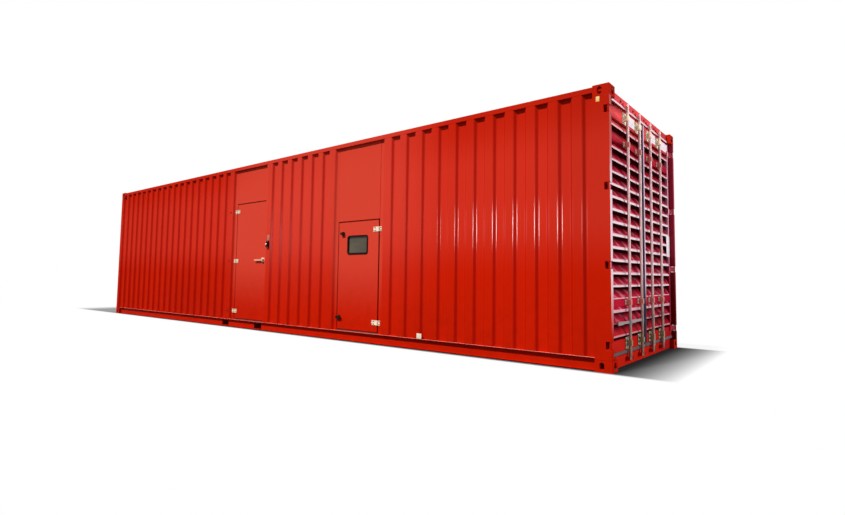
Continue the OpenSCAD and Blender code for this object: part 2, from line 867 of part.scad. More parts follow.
module closed_end_wall() {
    points = [for (k = [0 : end_recesses - 1]) let (y = inner_y - 30 - recess_w - k * end_pitch)
        each [[end_face, y + recess_w], [end_face + recess_depth, y + recess_w - recess_slope],
            [end_face + recess_depth, y + recess_slope], [end_face, y]]];
    color(red) difference() {
        translate([0, 0, rail_top]) linear_extrude(top_z - rail_top) polygon(concat(
            [[end_in, inner_y], [end_face, inner_y]], points,
            [[end_face, -inner_y], [end_in, -inner_y]]));
        block([end_face - cut, -intake_half, intake_z], [end_in + cut, intake_half, intake_top]);
    }
}

// One blade along Y from y0 to y1, its lip's lower edge at z, facing +X at x
module blade(x, y0, y1, z, rise) {
    top = min(rise, blade_rise);
    back = leaf_t - 6;
    slope_top = x - 2 - back * (top - blade_lip) / (blade_rise - blade_lip);
    translate([0, y1, z]) rotate([90, 0, 0]) linear_extrude(y1 - y0) polygon([
        [x - 2, 0], [x - 2, blade_lip], [slope_top, top], [slope_top - blade_t, top],
        [x - 2 - blade_t, blade_lip - 1], [x - 2 - blade_t, 0]]);
}

module intake_louvres() {
    bank_x = half_l - 12;
    color(dark_red) mirror([1, 0, 0]) union() {
        difference() {
            block([bank_x - leaf_t, -intake_half, intake_z], [bank_x, intake_half, intake_top]);
            block([bank_x - leaf_t - cut, -intake_half + intake_frame, intake_z + intake_frame],
                [bank_x + cut, intake_half - intake_frame, intake_top - intake_frame]);
        }
        for (k = [0 : intake_blades - 1])
            blade(bank_x, -intake_half + intake_frame - cut, intake_half - intake_frame + cut,
                intake_z + intake_frame + k * blade_pitch, blade_rise);
    }
}

// ---------- louvred leaves ----------

// The leaf on the near side, closed: y runs from -leaf_edge to -leaf_mid_gap
module leaf_panel() {
    field = [-leaf_edge + hinge_stile, -leaf_mid_gap - close_stile];
    difference() {
        block([leaf_in, -leaf_edge, leaf_z], [leaf_x, -leaf_mid_gap, leaf_top]);
        for (z = [[low_field_z, low_band_z], [main_field_z, upper_band_z],
                [upper_band_z + upper_band_h, top_panel_z]])
            block([leaf_in - cut, field[0], z[0]], [leaf_x + cut, field[1], z[1]]);
    }
}

arm_end = [leaf_x + 4, -leaf_edge + 5];
arm_dir = (arm_end - [pin_x, -pin_y]) / norm(arm_end - [pin_x, -pin_y]);
arm_side = 6 * [arm_dir[1], -arm_dir[0]];

module hinge_blade(z) {
    pin = [pin_x, -pin_y];
    translate([0, 0, z - eye_half]) linear_extrude(2 * eye_half) {
        polygon([pin + arm_side, pin - arm_side, arm_end - arm_side, arm_end + arm_side]);
        translate(pin) circle(r = eye_r, $fn = 48);
        translate([leaf_x - cut, -leaf_edge + 2]) square([8 + cut, 95]);
    }
}

module leaf_frame() {
    difference() {
        union() {
            leaf_panel();
            for (z = leaf_hinges) hinge_blade(z);
        }
        for (z = leaf_hinges) translate([pin_x, -pin_y, z])
            cylinder(h = 3 * eye_half, r = leaf_pin_r + 0.4, center = true, $fn = 48);
    }
}

main_top = upper_band_z - 64;              // lip of the highest full blade in each field
main_count = ceil((main_top - main_field_z + blade_lip) / blade_pitch);
low_top = low_band_z - 48;
low_count = floor((low_top - low_field_z) / blade_pitch) + 1;
slot_top = top_panel_z - 84;

module leaf_blades() {
    y0 = -leaf_edge + hinge_stile;
    y1 = -leaf_mid_gap - close_stile;
    difference() {
        union() {
            for (k = [0 : low_count - 1])
                blade(leaf_x, y0, y1, low_top - k * blade_pitch, low_band_z - low_top + k * blade_pitch);
            for (k = [0 : main_count])
                blade(leaf_x, y0, y1, main_top - k * blade_pitch,
                    upper_band_z - main_top + k * blade_pitch);
            for (k = [0, 1])
                blade(leaf_x, y0, y1, slot_top - k * blade_pitch, top_panel_z - slot_top + k * blade_pitch);
        }
        for (z = [[low_band_z, main_field_z], [upper_band_z, upper_band_z + upper_band_h]])
            block([leaf_in - cut, y0 - cut, z[0]], [leaf_x + cut, y1 + cut, z[1]]);
    }
}

module leaf_gasket() {
    color(rubber_grey) union() {
        block([leaf_x, -leaf_edge + 6, leaf_z], [leaf_x + 12, -leaf_mid_gap, leaf_z + 34]);
        block([leaf_x, -leaf_mid_gap - 30, leaf_z], [leaf_x + 12, -leaf_mid_gap, leaf_top]);
    }
}

// A saddle around a rod, on a base plate h high
module guide(y, z, h) {
    saddle = min(h, 56);
    difference() {
        union() {
            block([leaf_x, y - guide_w / 2, z - h / 2], [leaf_x + 6, y + guide_w / 2, z + h / 2]);
            block([leaf_x + 5, y - rod_r - 5, z - saddle / 2],
                [rod_x + rod_r + 3.4, y + rod_r + 5, z + saddle / 2]);
        }
        translate([rod_x, y, z]) cylinder(h = 2 * h, r = rod_r + rod_clear, center = true, $fn = 48);
    }
}

module leaf_guides() {
    color(zinc) for (y = [-rod_outer, -rod_inner]) {
        guide(y, top_panel_z + 4 + guide_h / 2, guide_h);
        guide(y, upper_band_z + upper_band_h / 2, band_guide_h);
        guide(y, low_band_z + low_band_h / 2, band_guide_h);
        guide(y, leaf_z + 40 + guide_h / 2, guide_h);
    }
}

module near_leaf_frame() {
    color(red) leaf_frame();
}

module near_leaf_blades() {
    color(red) leaf_blades();
}

module near_leaf_gasket() {
    leaf_gasket();
}

module near_leaf_guides() {
    leaf_guides();
}

module far_leaf_frame() {
    color(red) mirror([0, 1, 0]) leaf_frame();
}

module far_leaf_blades() {
    color(red) mirror([0, 1, 0]) leaf_blades();
}

module far_leaf_gasket() {
    mirror([0, 1, 0]) leaf_gasket();
}

module far_leaf_guides() {
    mirror([0, 1, 0]) leaf_guides();
}

module door_hinge_pins() {
    color(zinc) both_sides() for (z = leaf_hinges) translate([pin_x, -pin_y, z])
        cylinder(h = 4 * eye_half, r = leaf_pin_r, center = true, $fn = 48);
}

// ---------- locking gear ----------

keeper_z = [rail_lift + 48, top_z + header_lip_h];
keeper_h = 40;
handle_x = rod_x - 9;                      // inner face of the handles

module lock_keepers() {
    color(red) for (y = [-rod_outer, -rod_inner, rod_inner, rod_outer], z = keeper_z, s = [-1, 1])
        block([header_x, y + s * (keeper_gap + keeper_t / 2) - keeper_t / 2, z],
            [half_l - 8, y + s * (keeper_gap + keeper_t / 2) + keeper_t / 2, z + keeper_h]);
}

// A rod at y with a one-sided cam at each end, which points along side (1 is +Y)
module rod_with_cams(y, side) {
    z0 = keeper_z[0] + 2;
    z1 = keeper_z[1] + keeper_h - 2;
    translate([rod_x, y, z0]) cylinder(h = z1 - z0, r = rod_r, $fn = 48);
    tip = y + side * cam_reach;
    for (z = [keeper_z[0] + 8, keeper_z[1] + 8])
        block([rod_x - 8, min(y, tip), z], [rod_x + 8, max(y, tip), z + 24]);
}

module handle_hub(y, z) {
    translate([rod_x, y, z]) cylinder(h = 64, r = rod_r + 3, center = true, $fn = 48);
}

// The near leaf's handles lie level, towards the hinges
module level_handle(y) {
    handle_hub(y, handle_z);
    block([handle_x, y - handle_l, handle_z - 14], [handle_x + handle_t, y, handle_z + 14]);
    block([handle_x, y - handle_l, handle_z - grip_half],
        [handle_x + handle_t, y - handle_l + grip_l, handle_z + grip_half]);
    translate([handle_x, y - handle_l, handle_z]) rotate([0, 90, 0])
        cylinder(h = handle_t, r = grip_half, $fn = 40);
}

// The far leaf's handles hang beside their rods
module hanging_handle(y) {
    top = handle_z + 40;
    foot = top - handle_l - 30;
    out = y + 38;
    handle_hub(y, top);
    block([handle_x, y, top - 14], [handle_x + handle_t, y + 46, top + 14]);
    block([handle_x, out, foot], [handle_x + handle_t, out + 16, top + 14]);
    block([handle_x, out, foot], [handle_x + handle_t, out + 2 * grip_half, foot + grip_l]);
}

module lock_rod_1() {
    color(zinc) union() {
        rod_with_cams(-rod_outer, -1);
        level_handle(-rod_outer);
    }
}

module lock_rod_2() {
    color(zinc) union() {
        rod_with_cams(-rod_inner, -1);
        level_handle(-rod_inner);
    }
}

module lock_rod_3() {
    color(zinc) union() {
        rod_with_cams(rod_inner, 1);
        hanging_handle(rod_inner);
    }
}

module lock_rod_4() {
    color(zinc) union() {
        rod_with_cams(rod_outer, 1);
        hanging_handle(rod_outer);
    }
}

// ---------- what is drawn ----------

bottom_castings();
top_castings();
door_end_posts();
closed_end_posts();
bottom_side_rails();
top_side_rails();
door_header();
door_sill();
closed_end_rails();
cross_members();
fork_pockets();
floor_plate();
roof_panel();
near_wall_left();
near_wall_over_door_1();
near_wall_middle();
near_wall_over_door_2();
near_wall_right();
far_wall();
far_side_doors();
far_door_fittings();
closed_end_wall();
intake_louvres();
door_hinge_pins();
lock_keepers();
side_door_hinge_plates();
stop_box();
stop_button();
near_leaf_frame();
near_leaf_blades();
near_leaf_gasket();
near_leaf_guides();
far_leaf_frame();
far_leaf_blades();
far_leaf_gasket();
far_leaf_guides();
lock_rod_1();
lock_rod_2();
lock_rod_3();
lock_rod_4();
side_door_1();
door_1_fittings();
door_1_lever();
side_door_2();
window_rubber_frame();
window_glass();
door_2_fittings();
upper_latch();
lower_latch();
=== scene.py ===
import json
import math

import bmesh
import bpy
from mathutils import Matrix, Vector


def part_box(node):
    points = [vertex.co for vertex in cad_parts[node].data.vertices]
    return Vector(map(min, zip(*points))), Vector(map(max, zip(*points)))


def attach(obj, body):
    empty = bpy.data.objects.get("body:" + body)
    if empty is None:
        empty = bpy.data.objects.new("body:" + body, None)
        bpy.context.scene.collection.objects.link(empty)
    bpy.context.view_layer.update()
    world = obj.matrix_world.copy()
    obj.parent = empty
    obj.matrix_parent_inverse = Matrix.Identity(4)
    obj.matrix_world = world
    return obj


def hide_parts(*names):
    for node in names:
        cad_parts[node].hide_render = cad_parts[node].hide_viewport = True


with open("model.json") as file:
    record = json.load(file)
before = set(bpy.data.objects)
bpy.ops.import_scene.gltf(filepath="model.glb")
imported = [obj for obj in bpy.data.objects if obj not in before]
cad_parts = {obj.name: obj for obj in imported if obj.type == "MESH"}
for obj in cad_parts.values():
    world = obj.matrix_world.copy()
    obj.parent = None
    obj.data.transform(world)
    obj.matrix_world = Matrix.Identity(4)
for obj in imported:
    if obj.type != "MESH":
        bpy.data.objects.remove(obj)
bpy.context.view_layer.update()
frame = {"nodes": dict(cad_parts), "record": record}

bl_info = {
    "name": "Containerised generator set",
    "version": (1, 0, 0),
    "blender": (4, 5, 0),
    "location": "View3D > Sidebar > Genset",
    "description": "Dresses the packed enclosure of a diesel generator set",
    "category": "Object",
}

NODES = frame["nodes"]
ROOT = "root"
NEAR, FAR = "near_leaf", "far_leaf"
DOOR_1, DOOR_2 = "side_door_1", "side_door_2"

# ---------- where the pieces of the enclosure are ----------


def span(node):
    """The lowest and highest corner of a CAD node, as two vectors."""
    low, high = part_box(node)
    return Vector(low), Vector(high)


OUT_Y = span("top_castings")[0].y            # outer plane of the near long side
END_X = span("top_castings")[1].x            # outer plane of the louvred end
DOOR1_LOW, DOOR1_HIGH = span("side_door_1")
DOOR2_LOW, DOOR2_HIGH = span("side_door_2")
BAY_Y = DOOR1_LOW.y                          # outer plane of the doors and their bays
LEAF_TOP = span("near_leaf_frame")[1].z
LEAF_X = span("near_leaf_gasket")[0].x       # outer plane of the louvred leaves
HEADER_X = LEAF_X + 0.006                    # outer plane of the header
RAIL_Z = span("top_side_rails")[0].z         # underside of the top side rails
FOOT_Z = span("bottom_side_rails")[1].z      # top of the bottom side rails
SLOPE_Y = 1.201                              # half-way into the walls' corrugations
BAND_LOW, BAND_HIGH = (0.6, 0.76), (2.2, 2.45)  # heights of the guides on the two bands
MERGE = 1e-5                                 # vertices nearer than this are one
OUTWARD = 0.9                                # a normal past this share faces straight out
PLATE_PROUD, PLATE_SUNK = 0.0015, 0.001      # how far a plate stands out of its surface and goes in
PLATE_HEIGHT, PLATE_DROP = 0.115, 0.012      # height of the leaves' top plates, and room over them
BUTTON_RADIUS, BUTTON_HEIGHT = 0.014, 0.006  # low round bolts of the header and the near wall
HEADER_BOLT_Z, HEADER_BOLT_OFF = 2.84, 0.075  # height of its bolts, and how far beside the keepers
WALL_BOLT_OFF = 0.16                         # from the first door's hinges to the bolts beside them
GUIDE_SIDE, GUIDE_END = 0.014, 0.016         # from a guide's sides and ends to its bolts
GUIDE_FACE = 0.007                           # how far the guides' bolts stand off the leaves
HINGE_FACE = 0.0055                          # how far the hinges' screws stand off the bays
HINGE_INSET, PLATE_INSET = 0.014, 0.013      # from the edge of a hinge or its wall plate to a screw
SCREW_STEP, SCREW_RISE = 0.032, 0.018        # along a hinge, and up from its middle, to its screws

# ---------- tints of the enamel and the gear, and painted light and shade ---

# black for painted shade on the walls and for the floor's painted shadow
SHADE_BLACK = (0.0, 0.0, 0.0, 1.0)
SNOW = (1.0, 1.0, 1.0, 1.0)
LOW_DARK_RED = (0.20, 0.004, 0.0005, 1.0)       # darker enamel near the ground
UPPER_LIGHT_RED = (0.64, 0.030, 0.014, 1.0)         # painted light on the upper half of the walls
SHEEN_RED = (0.70, 0.058, 0.034, 1.0)         # painted sheen: palest stretch, at the middle of the length
LEFT_SHADE_RED = (0.42, 0.010, 0.001, 1.0)         # painted shade towards the closed end
SLOPE_SHADE_RED = (0.52, 0.004, 0.001, 1.0)        # painted shade on the slopes of the corrugations
BAY_RED = (0.67, 0.055, 0.030, 1.0)          # doors and the panels over them
SEAM_SHADE_RED = (0.11, 0.004, 0.001, 1.0)         # painted shade in the gaps around the doors
POST_SHADE_FOOT, POST_LIGHT_HEAD = (0.16, 0.004, 0.003, 1.0), (0.42, 0.028, 0.060, 1.0)  # far post: painted shade at the foot, painted light at the head
LIP_HIGHLIGHT = (1.0, 0.24, 0.19, 1.0)            # painted highlight on the lip of the bottom side rails
TOP_LIGHT_ROSE = (0.90, 0.11, 0.11, 1.0)           # painted light: rosy head of the louvred end
SILL_RED = (0.60, 0.016, 0.003, 1.0)         # foot of the louvred end
FAR_SHADE_WINE = (0.22, 0.0, 0.02, 1.0)            # painted shade on the far side of the louvred end
NEAR_EYE, FAR_EYE_HIGHLIGHT = (0.44, 0.010, 0.002, 1.0), (0.55, 0.07, 0.11, 1.0)  # hinge eyes of the leaves; the far ones with a painted highlight
STILE_HIGHLIGHT = (1.0, 0.48, 0.62, 1.0)          # painted highlight on the far leaf's hinge stile
SLOT_SHADE = (0.03, 0.0, 0.002, 1.0)          # painted shade inside the slots
STREAK_REFLECTION = (0.95, 0.30, 0.42, 1.0)        # painted reflection: slanted streaks on the blades
# painted highlights on marked edges
EDGE_HIGHLIGHT = (1.0, 0.82, 0.90, 1.0)
RIM_HIGHLIGHT = (1.0, 0.84, 0.92, 1.0)
STAIN_BROWN = (0.36, 0.30, 0.20)
# the gear: painted reflection of the red around it at the head, darker at the foot
GEAR_FOOT, GEAR_HEAD_REFLECTION = (0.20, 0.085, 0.060, 1.0), (0.58, 0.36, 0.37, 1.0)
HANDLE_GREY = (0.19, 0.12, 0.13, 1.0)
HANDLE_BAND = (0.42, 0.51)                   # heights between which the level handles lie
GUIDE_CREAM = (0.78, 0.66, 0.48, 1.0)
GUIDE_RED = (0.50, 0.14, 0.12, 1.0)
GUIDE_OLIVE = (0.15, 0.11, 0.05, 1.0)
SEAL_PINK = (0.86, 0.58, 0.74, 1.0)
SEAL_DUST = (0.13, 0.075, 0.080, 1.0)
SHADOW_REACH = 0.62                          # how far the painted grey shadow on the floor goes beyond the louvred end

# ---------- shader and mesh helpers ----------


def islands(node):
    """The lowest and highest corner of each loose solid of a CAD node, from low to high."""
    shape = bmesh.new()
    shape.from_mesh(NODES[node].data)
    bmesh.ops.remove_doubles(shape, verts=shape.verts, dist=MERGE)
    left, found = set(shape.verts), []
    while left:
        front = [left.pop()]
        group = []
        while front:
            vert = front.pop()
            group.append(vert.co.copy())
            for edge in vert.link_edges:
                other = edge.other_vert(vert)
                if other in left:
                    left.remove(other)
                    front.append(other)
        found.append(tuple(Vector([pick(v[i] for v in group) for i in range(3)]) for pick in (min, max)))
    shape.free()
    return sorted(found, key=lambda box: (round(box[0].z, 3), round(box[0].y, 3), box[0].x))


class Value:
    """A number inside a shader; arithmetic on it adds Math nodes."""

    def __init__(self, shader, socket):
        self.shader, self.socket = shader, socket

    def math(self, kind, *others):
        """The result of a Math node on this number and the others."""
        node = self.shader.node("ShaderNodeMath", {"operation": kind}, {0: self})
        for i, other in enumerate(others):
            self.shader.feed(node.inputs[i + 1], other)
        return Value(self.shader, node.outputs[0])

    def __add__(self, other):
        return self.math("ADD", other)

    def __mul__(self, other):
        return self.math("MULTIPLY", other)

    def __sub__(self, other):
        return self.math("SUBTRACT", other)

    def __rsub__(self, other):
        node = self.shader.node("ShaderNodeMath", {"operation": "SUBTRACT"}, {0: other, 1: self})
        return Value(self.shader, node.outputs[0])

    __radd__ = __add__
    __rmul__ = __mul__

    def ramp(self, low, high, bottom=0.0, top=1.0):
        """From bottom to top while the number goes from low to high, with soft ends."""
        node = self.shader.node("ShaderNodeMapRange", {"interpolation_type": "SMOOTHSTEP"}, {
            "Value": self, "From Min": low, "From Max": high, "To Min": bottom, "To Max": top})
        return Value(self.shader, node.outputs[0])

    def band(self, low, high, edge):
        """1 between low and high and 0 outside, with edges as wide as edge."""
        return self.ramp(low, low + edge) * self.ramp(high - edge, high, 1.0, 0.0)


class Shader:
    """The node tree of a material or of the world, which starts empty."""

    def __init__(self, owner):
        owner.use_nodes = True
        self.tree = owner.node_tree
        self.tree.nodes.clear()

    def feed(self, socket, value):
        """Sets a socket to a constant, or links it to a value or another socket."""
        if isinstance(value, Value):
            value = value.socket
        if isinstance(value, bpy.types.NodeSocket):
            self.tree.links.new(value, socket)
        else:
            socket.default_value = value

    def node(self, kind, settings=None, inputs=None):
        """Adds a node, sets it up and then feeds its sockets."""
        node = self.tree.nodes.new(kind)
        for key, value in (settings or {}).items():
            setattr(node, key, value)
        for key, value in (inputs or {}).items():
            self.feed(node.inputs[key], value)
        return node

    def blend(self, share, first, second):
        """A colour between first and second."""
        node = self.node("ShaderNodeMix", {"data_type": "RGBA"}, {"Factor": share})
        self.feed(node.inputs[6], first)
        self.feed(node.inputs[7], second)
        return node.outputs[2]

    def seen(self):
        """1 for rays from the camera, a mirror or glass, and 0 for the rays that light the object."""
        rays = self.node("ShaderNodeLightPath")
        camera, glossy, through = (Value(self, rays.outputs["Is %s Ray" % kind])
                                   for kind in ("Camera", "Glossy", "Transmission"))
        return camera.math("MAXIMUM", glossy).math("MAXIMUM", through)


class Paint(Shader):
    """One material, with the place on the object as its coordinates."""

    def __init__(self, name):
        self.material = bpy.data.materials.new(name)
        super().__init__(self.material)
        self.place = self.node("ShaderNodeTexCoord").outputs["Object"]
        axes = self.node("ShaderNodeSeparateXYZ", {}, {0: self.place})
        self.x, self.y, self.z = (Value(self, s) for s in axes.outputs)

    def noise(self, scale, detail=2.0, stretch=(1, 1, 1), rough=0.5):
        """Soft noise around 0.5. A stretch below 1 draws it out along that axis."""
        spot = self.place
        if stretch != (1, 1, 1):
            spot = self.node("ShaderNodeMapping", {}, {"Vector": self.place, "Scale": stretch}).outputs[0]
        node = self.node("ShaderNodeTexNoise", {}, {
            "Vector": spot, "Scale": scale, "Detail": detail, "Roughness": rough})
        return Value(self, node.outputs[0])

    def cells(self, scale):
        """A random number in each cell, as crystals have."""
        cells = self.node("ShaderNodeTexVoronoi", {}, {"Vector": self.place, "Scale": scale})
        colour = self.node("ShaderNodeSeparateColor", {}, {0: cells.outputs["Color"]})
        return Value(self, colour.outputs[0])

    def mark(self, name):
        """How strongly a face bears a mark that soften() gave it."""
        return Value(self, self.node("ShaderNodeAttribute", {"attribute_name": name}).outputs["Fac"])

    def bump(self, height, depth, strength=1.0):
        """A normal from a height, where 1 stands depth metres proud."""
        return self.node("ShaderNodeBump", {}, {
            "Height": height, "Distance": depth, "Strength": strength}).outputs[0]

    def finish(self, colour, rough, metal=0.0, normal=None, **fixed):
        """Ends the material in a Principled BSDF. fixed sets its other sockets by their names."""
        shader = self.node("ShaderNodeBsdfPrincipled", {}, {
            "Base Color": colour, "Roughness": rough, "Metallic": metal})
        for key, value in fixed.items():
            self.feed(shader.inputs[key.replace("_", " ").title().replace("Ior", "IOR")], value)
        if normal is not None:
            self.feed(shader.inputs["Normal"], normal)
        out = self.node("ShaderNodeOutputMaterial", {}, {"Surface": shader.outputs[0]})
        out.target = "ALL"
        return self.material


def rgb(colour, share=1.0):
    """A colour made darker or paler by a share, with full alpha."""
    return tuple(c * share for c in colour[:3]) + (1.0,)


def gloss_paint(name, colour, deep=0.9, low_dark=0.2, rough=0.34, shade=None):
    """Sprayed enamel: soft clouds of tone, darker towards the ground, and orange peel.

    shade may change the tone."""
    p = Paint(name)
    clouds = p.noise(0.5, 3.0).ramp(0.3, 0.7)
    runs = p.noise(4.0, 2.0, (1.0, 1.0, 0.06)).ramp(0.5, 0.85)
    grime = p.noise(9.0, 4.0).ramp(0.35, 0.75)
    tone = p.blend(clouds, rgb(colour, deep), rgb(colour, 1.04))
    tone = p.blend(runs * 0.08, tone, rgb(colour, 0.7))
    if shade:
        tone = shade(p, tone)
    # darker towards the ground, mottled by noise
    low = p.z.ramp(0.1, 1.3, 1.0, 0.0)
    tone = p.blend(low * (grime * 0.7 + 0.3) * low_dark, tone, LOW_DARK_RED)
    skin = p.bump(p.noise(150.0, 1.0), 0.0005, 0.2)
    matt = p.noise(3.0, 3.0).ramp(0.3, 0.7, rough - 0.04, rough + 0.07)
    level = p.z.ramp(1.2, 1.5) * p.z.ramp(1.55, 1.85, 1.0, 0.0)
    glint = level * p.x.ramp(3.6, 4.6) * p.x.ramp(5.5, 5.9, 1.0, 0.0)
    return p.finish(tone, matt, normal=skin, specular_ior_level=0.0, coat_roughness=0.2,
                    coat_weight=p.mark("bend") * glint * 0.7 + 0.03)


def wall_shade(p, tone):
    """The side walls, with painted light and shade: a lit upper half, a painted sheen mid-length, painted
    shade on the slopes, towards the closed end, in the door seams and near the louvred end, paler doors, the
    far post, and painted highlights on edges.
    """
    # painted light: the upper half of the walls is paler
    upper_light = p.z.ramp(0.9, 1.6) * p.z.ramp(2.2, 2.8, 1.0, 0.25)
    tone = p.blend(upper_light * 0.9, tone, UPPER_LIGHT_RED)
    # painted highlight: a broad pale sheen at the middle of the length
    mid_sheen = p.x.ramp(-1.6, 0.0) * p.x.ramp(2.8, 4.2, 1.0, 0.0) * p.z.ramp(0.2, 2.2)
    tone = p.blend(mid_sheen * 0.65, tone, SHEEN_RED)
    # painted shade towards the closed end
    tone = p.blend(p.x.ramp(-5.0, -1.5, 0.2, 0.0), tone, LEFT_SHADE_RED)
    # painted shade on the slopes of the corrugations
    slope_shade = (p.y.math("ABSOLUTE") - SLOPE_Y).math("ABSOLUTE").ramp(0.008, 0.014, 1.0, 0.0)
    tone = p.blend(slope_shade * 0.5, tone, SLOPE_SHADE_RED)
    side = p.y.math("ABSOLUTE").ramp(1.10, 1.12)
    for low, high in ((DOOR1_LOW, DOOR1_HIGH), (DOOR2_LOW, DOOR2_HIGH)):
        middle, half = (low + high) / 2, (high - low) / 2
        beside = (p.x - middle.x).math("ABSOLUTE") - half.x
        above = (p.z - middle.z).math("ABSOLUTE") - half.z
        bay = beside.ramp(0.06, 0.10, 1.0, 0.0) * side
        # paler doors and panels over them; the height profile, palest at mid-height, is painted light
        bay_light = p.z.ramp(0.2, 1.5) * p.z.ramp(2.2, 2.8, 1.0, 0.6)
        bay_light = bay_light * p.z.ramp(RAIL_Z - 0.01, RAIL_Z, 1.0, 0.0)
        tone = p.blend(bay_light * bay, tone, BAY_RED)
        # painted shade along the gaps round the doors
        seam_shade = beside.math("MAXIMUM", above).math("ABSOLUTE").ramp(0.006, 0.013, 1.0, 0.0)
        tone = p.blend(seam_shade * side * 0.9, tone, SEAM_SHADE_RED)
    # painted shade near the louvred end
    tone = p.blend(p.x.ramp(5.2, 5.8, 0.0, 0.11), tone, SHADE_BLACK)
    # painted light and shade on the far post: dark at the foot, rosy at the head
    far_post = p.y.ramp(1.0, 1.05) * p.x.ramp(END_X - 0.2, END_X - 0.15) * p.z.band(0.11, 2.78, 0.01)
    tone = p.blend(far_post, tone, p.blend(p.z.ramp(0.4, 1.7), POST_SHADE_FOOT, POST_LIGHT_HEAD))
    # painted highlight on the rails' lip
    tone = p.blend(p.mark("lip"), tone, LIP_HIGHLIGHT)
    return painted_edge_highlights(p, tone)


def door_shade(p, tone):
    """The louvred end: painted rosy light at the top, crimson in the middle, painted shade towards the far
    side and inside the slots, painted highlights on the far hinge eyes, the far stile and the edges.
    """
    # painted light: rosy at the top
    tone = p.blend(p.z.ramp(2.3, 2.7, 0.0, 0.85), tone, TOP_LIGHT_ROSE)
    tone = p.blend(p.z.ramp(0.18, 0.5, 0.9, 0.0), tone, SILL_RED)
    # painted shade towards the far side
    tone = p.blend(p.y.ramp(0.1, 1.3, 0.0, 0.5), tone, FAR_SHADE_WINE)
    # painted highlight on the far hinge eyes
    eye = p.blend(p.y.ramp(-0.1, 0.1), NEAR_EYE, FAR_EYE_HIGHLIGHT)
    tone = p.blend(p.y.math("ABSOLUTE").ramp(1.12, 1.13), tone, eye)
    # painted highlight on the far leaf's hinge stile
    stile = p.y.ramp(1.075, 1.085) * p.y.ramp(1.12, 1.13, 1.0, 0.0) * p.z.ramp(0.9, 1.4)
    tone = p.blend(stile, tone, STILE_HIGHLIGHT)
    # painted shade inside the slots, deeper further in
    inward_shade = p.x.ramp(LEAF_X - 0.05, LEAF_X - 0.004, 0.9, 0.0)
    tone = p.blend(inward_shade, tone, SLOT_SHADE)
    return painted_edge_highlights(p, tone)


def blade_shade(p, tone):
    """The blades: as the louvred end, with slanted streaks of painted reflection and a painted highlight
    along each lip.
    """
    # painted highlight along each lip, strongest at mid-height
    middle = p.z.ramp(0.7, 1.2) * p.z.ramp(1.8, 2.2, 1.0, 0.2)
    lip_highlight = p.x.ramp(LEAF_X - 0.012, LEAF_X - 0.003) * middle
    # painted reflection: slanted streaks
    slant_reflection = (p.y * 24.0 + p.z * 38.0 + p.noise(6.0) * 7.0).math("SINE").ramp(0.3, 1.0)
    tone = p.blend(slant_reflection * p.z.ramp(0.3, 0.7) * p.z.ramp(1.9, 2.3, 0.5, 0.1), tone, STREAK_REFLECTION)
    return p.blend(lip_highlight * 0.8, door_shade(p, tone), EDGE_HIGHLIGHT)


def painted_edge_highlights(p, tone):
    """Painted highlights on the edges where the mesh's own marks say so, brightest at the middle of the
    height.
    """
    light = p.z.ramp(0.35, 1.0, 0.35, 1.0) * p.z.ramp(1.7, 2.4, 1.0, 0.6)
    tone = p.blend(p.mark("pale") * light, tone, EDGE_HIGHLIGHT)
    return p.blend(p.mark("rim") * p.z.ramp(0.3, 1.0) * p.z.ramp(1.9, 2.3, 1.0, 0.15), tone, RIM_HIGHLIGHT)


def zinc_metal(name, colour, rough=0.42, shade=None):
    """Zinc-plated steel: crystals of slightly different greys, with fine scratches."""
    p = Paint(name)
    grain = p.cells(110.0)
    stain = p.noise(14.0, 4.0).ramp(0.35, 0.8)
    tone = p.blend(grain, rgb(colour, 0.78), rgb(colour, 1.12))
    tone = p.blend(stain * 0.4, tone, rgb(STAIN_BROWN))
    if shade:
        tone = shade(p, tone)
    scratch = p.noise(260.0, 1.0, (1.0, 1.0, 0.06))
    return p.finish(tone, grain.math("MULTIPLY_ADD", 0.14, rough - 0.07), metal=stain * -0.2 + 0.4,
                    normal=p.bump(scratch, 0.0004, 0.35), specular_ior_level=0.25)


def rod_shade(p, tone):
    """Painted reflection: the gear on the louvred end is tinted as if it mirrored the red around it, and is
    darker towards the ground.
    """
    gear = p.blend(p.z.ramp(0.2, 1.2), GEAR_FOOT, GEAR_HEAD_REFLECTION)
    gear = p.blend(p.z.band(*HANDLE_BAND, 0.01), gear, HANDLE_GREY)
    return p.blend(p.x.ramp(LEAF_X - 0.1, LEAF_X, 0.0, 0.9), tone, gear)


def guide_shade(p, tone):
    """Yellow zinc that is creamy at the top, reddish on the bands and olive at the foot."""
    tone = p.blend(p.z.ramp(1.2, 2.2), tone, GUIDE_CREAM)
    for low, high in (BAND_LOW, BAND_HIGH):
        tone = p.blend(p.z.band(low, high, 0.01), tone, GUIDE_RED)
    return p.blend(p.z.ramp(0.3, 0.75, 0.8, 0.0), tone, GUIDE_OLIVE)


def dark_polymer(name, colour, rough=0.45, grain=320.0, shade=None):
    """Moulded plastic or rubber with a fine grain and a dusty bloom. shade may change the tone."""
    p = Paint(name)
    bloom = p.noise(11.0, 3.0).ramp(0.35, 0.8)
    tone = p.blend(bloom, rgb(colour), rgb(colour, 1.6))
    if shade:
        tone = shade(p, tone)
    return p.finish(tone, bloom.math("MULTIPLY_ADD", 0.12, rough),
                    normal=p.bump(p.noise(grain, 1.0), 0.0005, 0.5), specular_ior_level=0.06)


def seal_shade(p, tone):
    """The seals: dusty grey along the foot, and the far leaf's upright lip catches the light."""
    lip = p.y.ramp(0.0, 0.01) * p.z.ramp(0.6, 0.9)
    tone = p.blend(lip, tone, SEAL_PINK)
    return p.blend(p.z.ramp(0.17, 0.19, 1.0, 0.0), tone, SEAL_DUST)


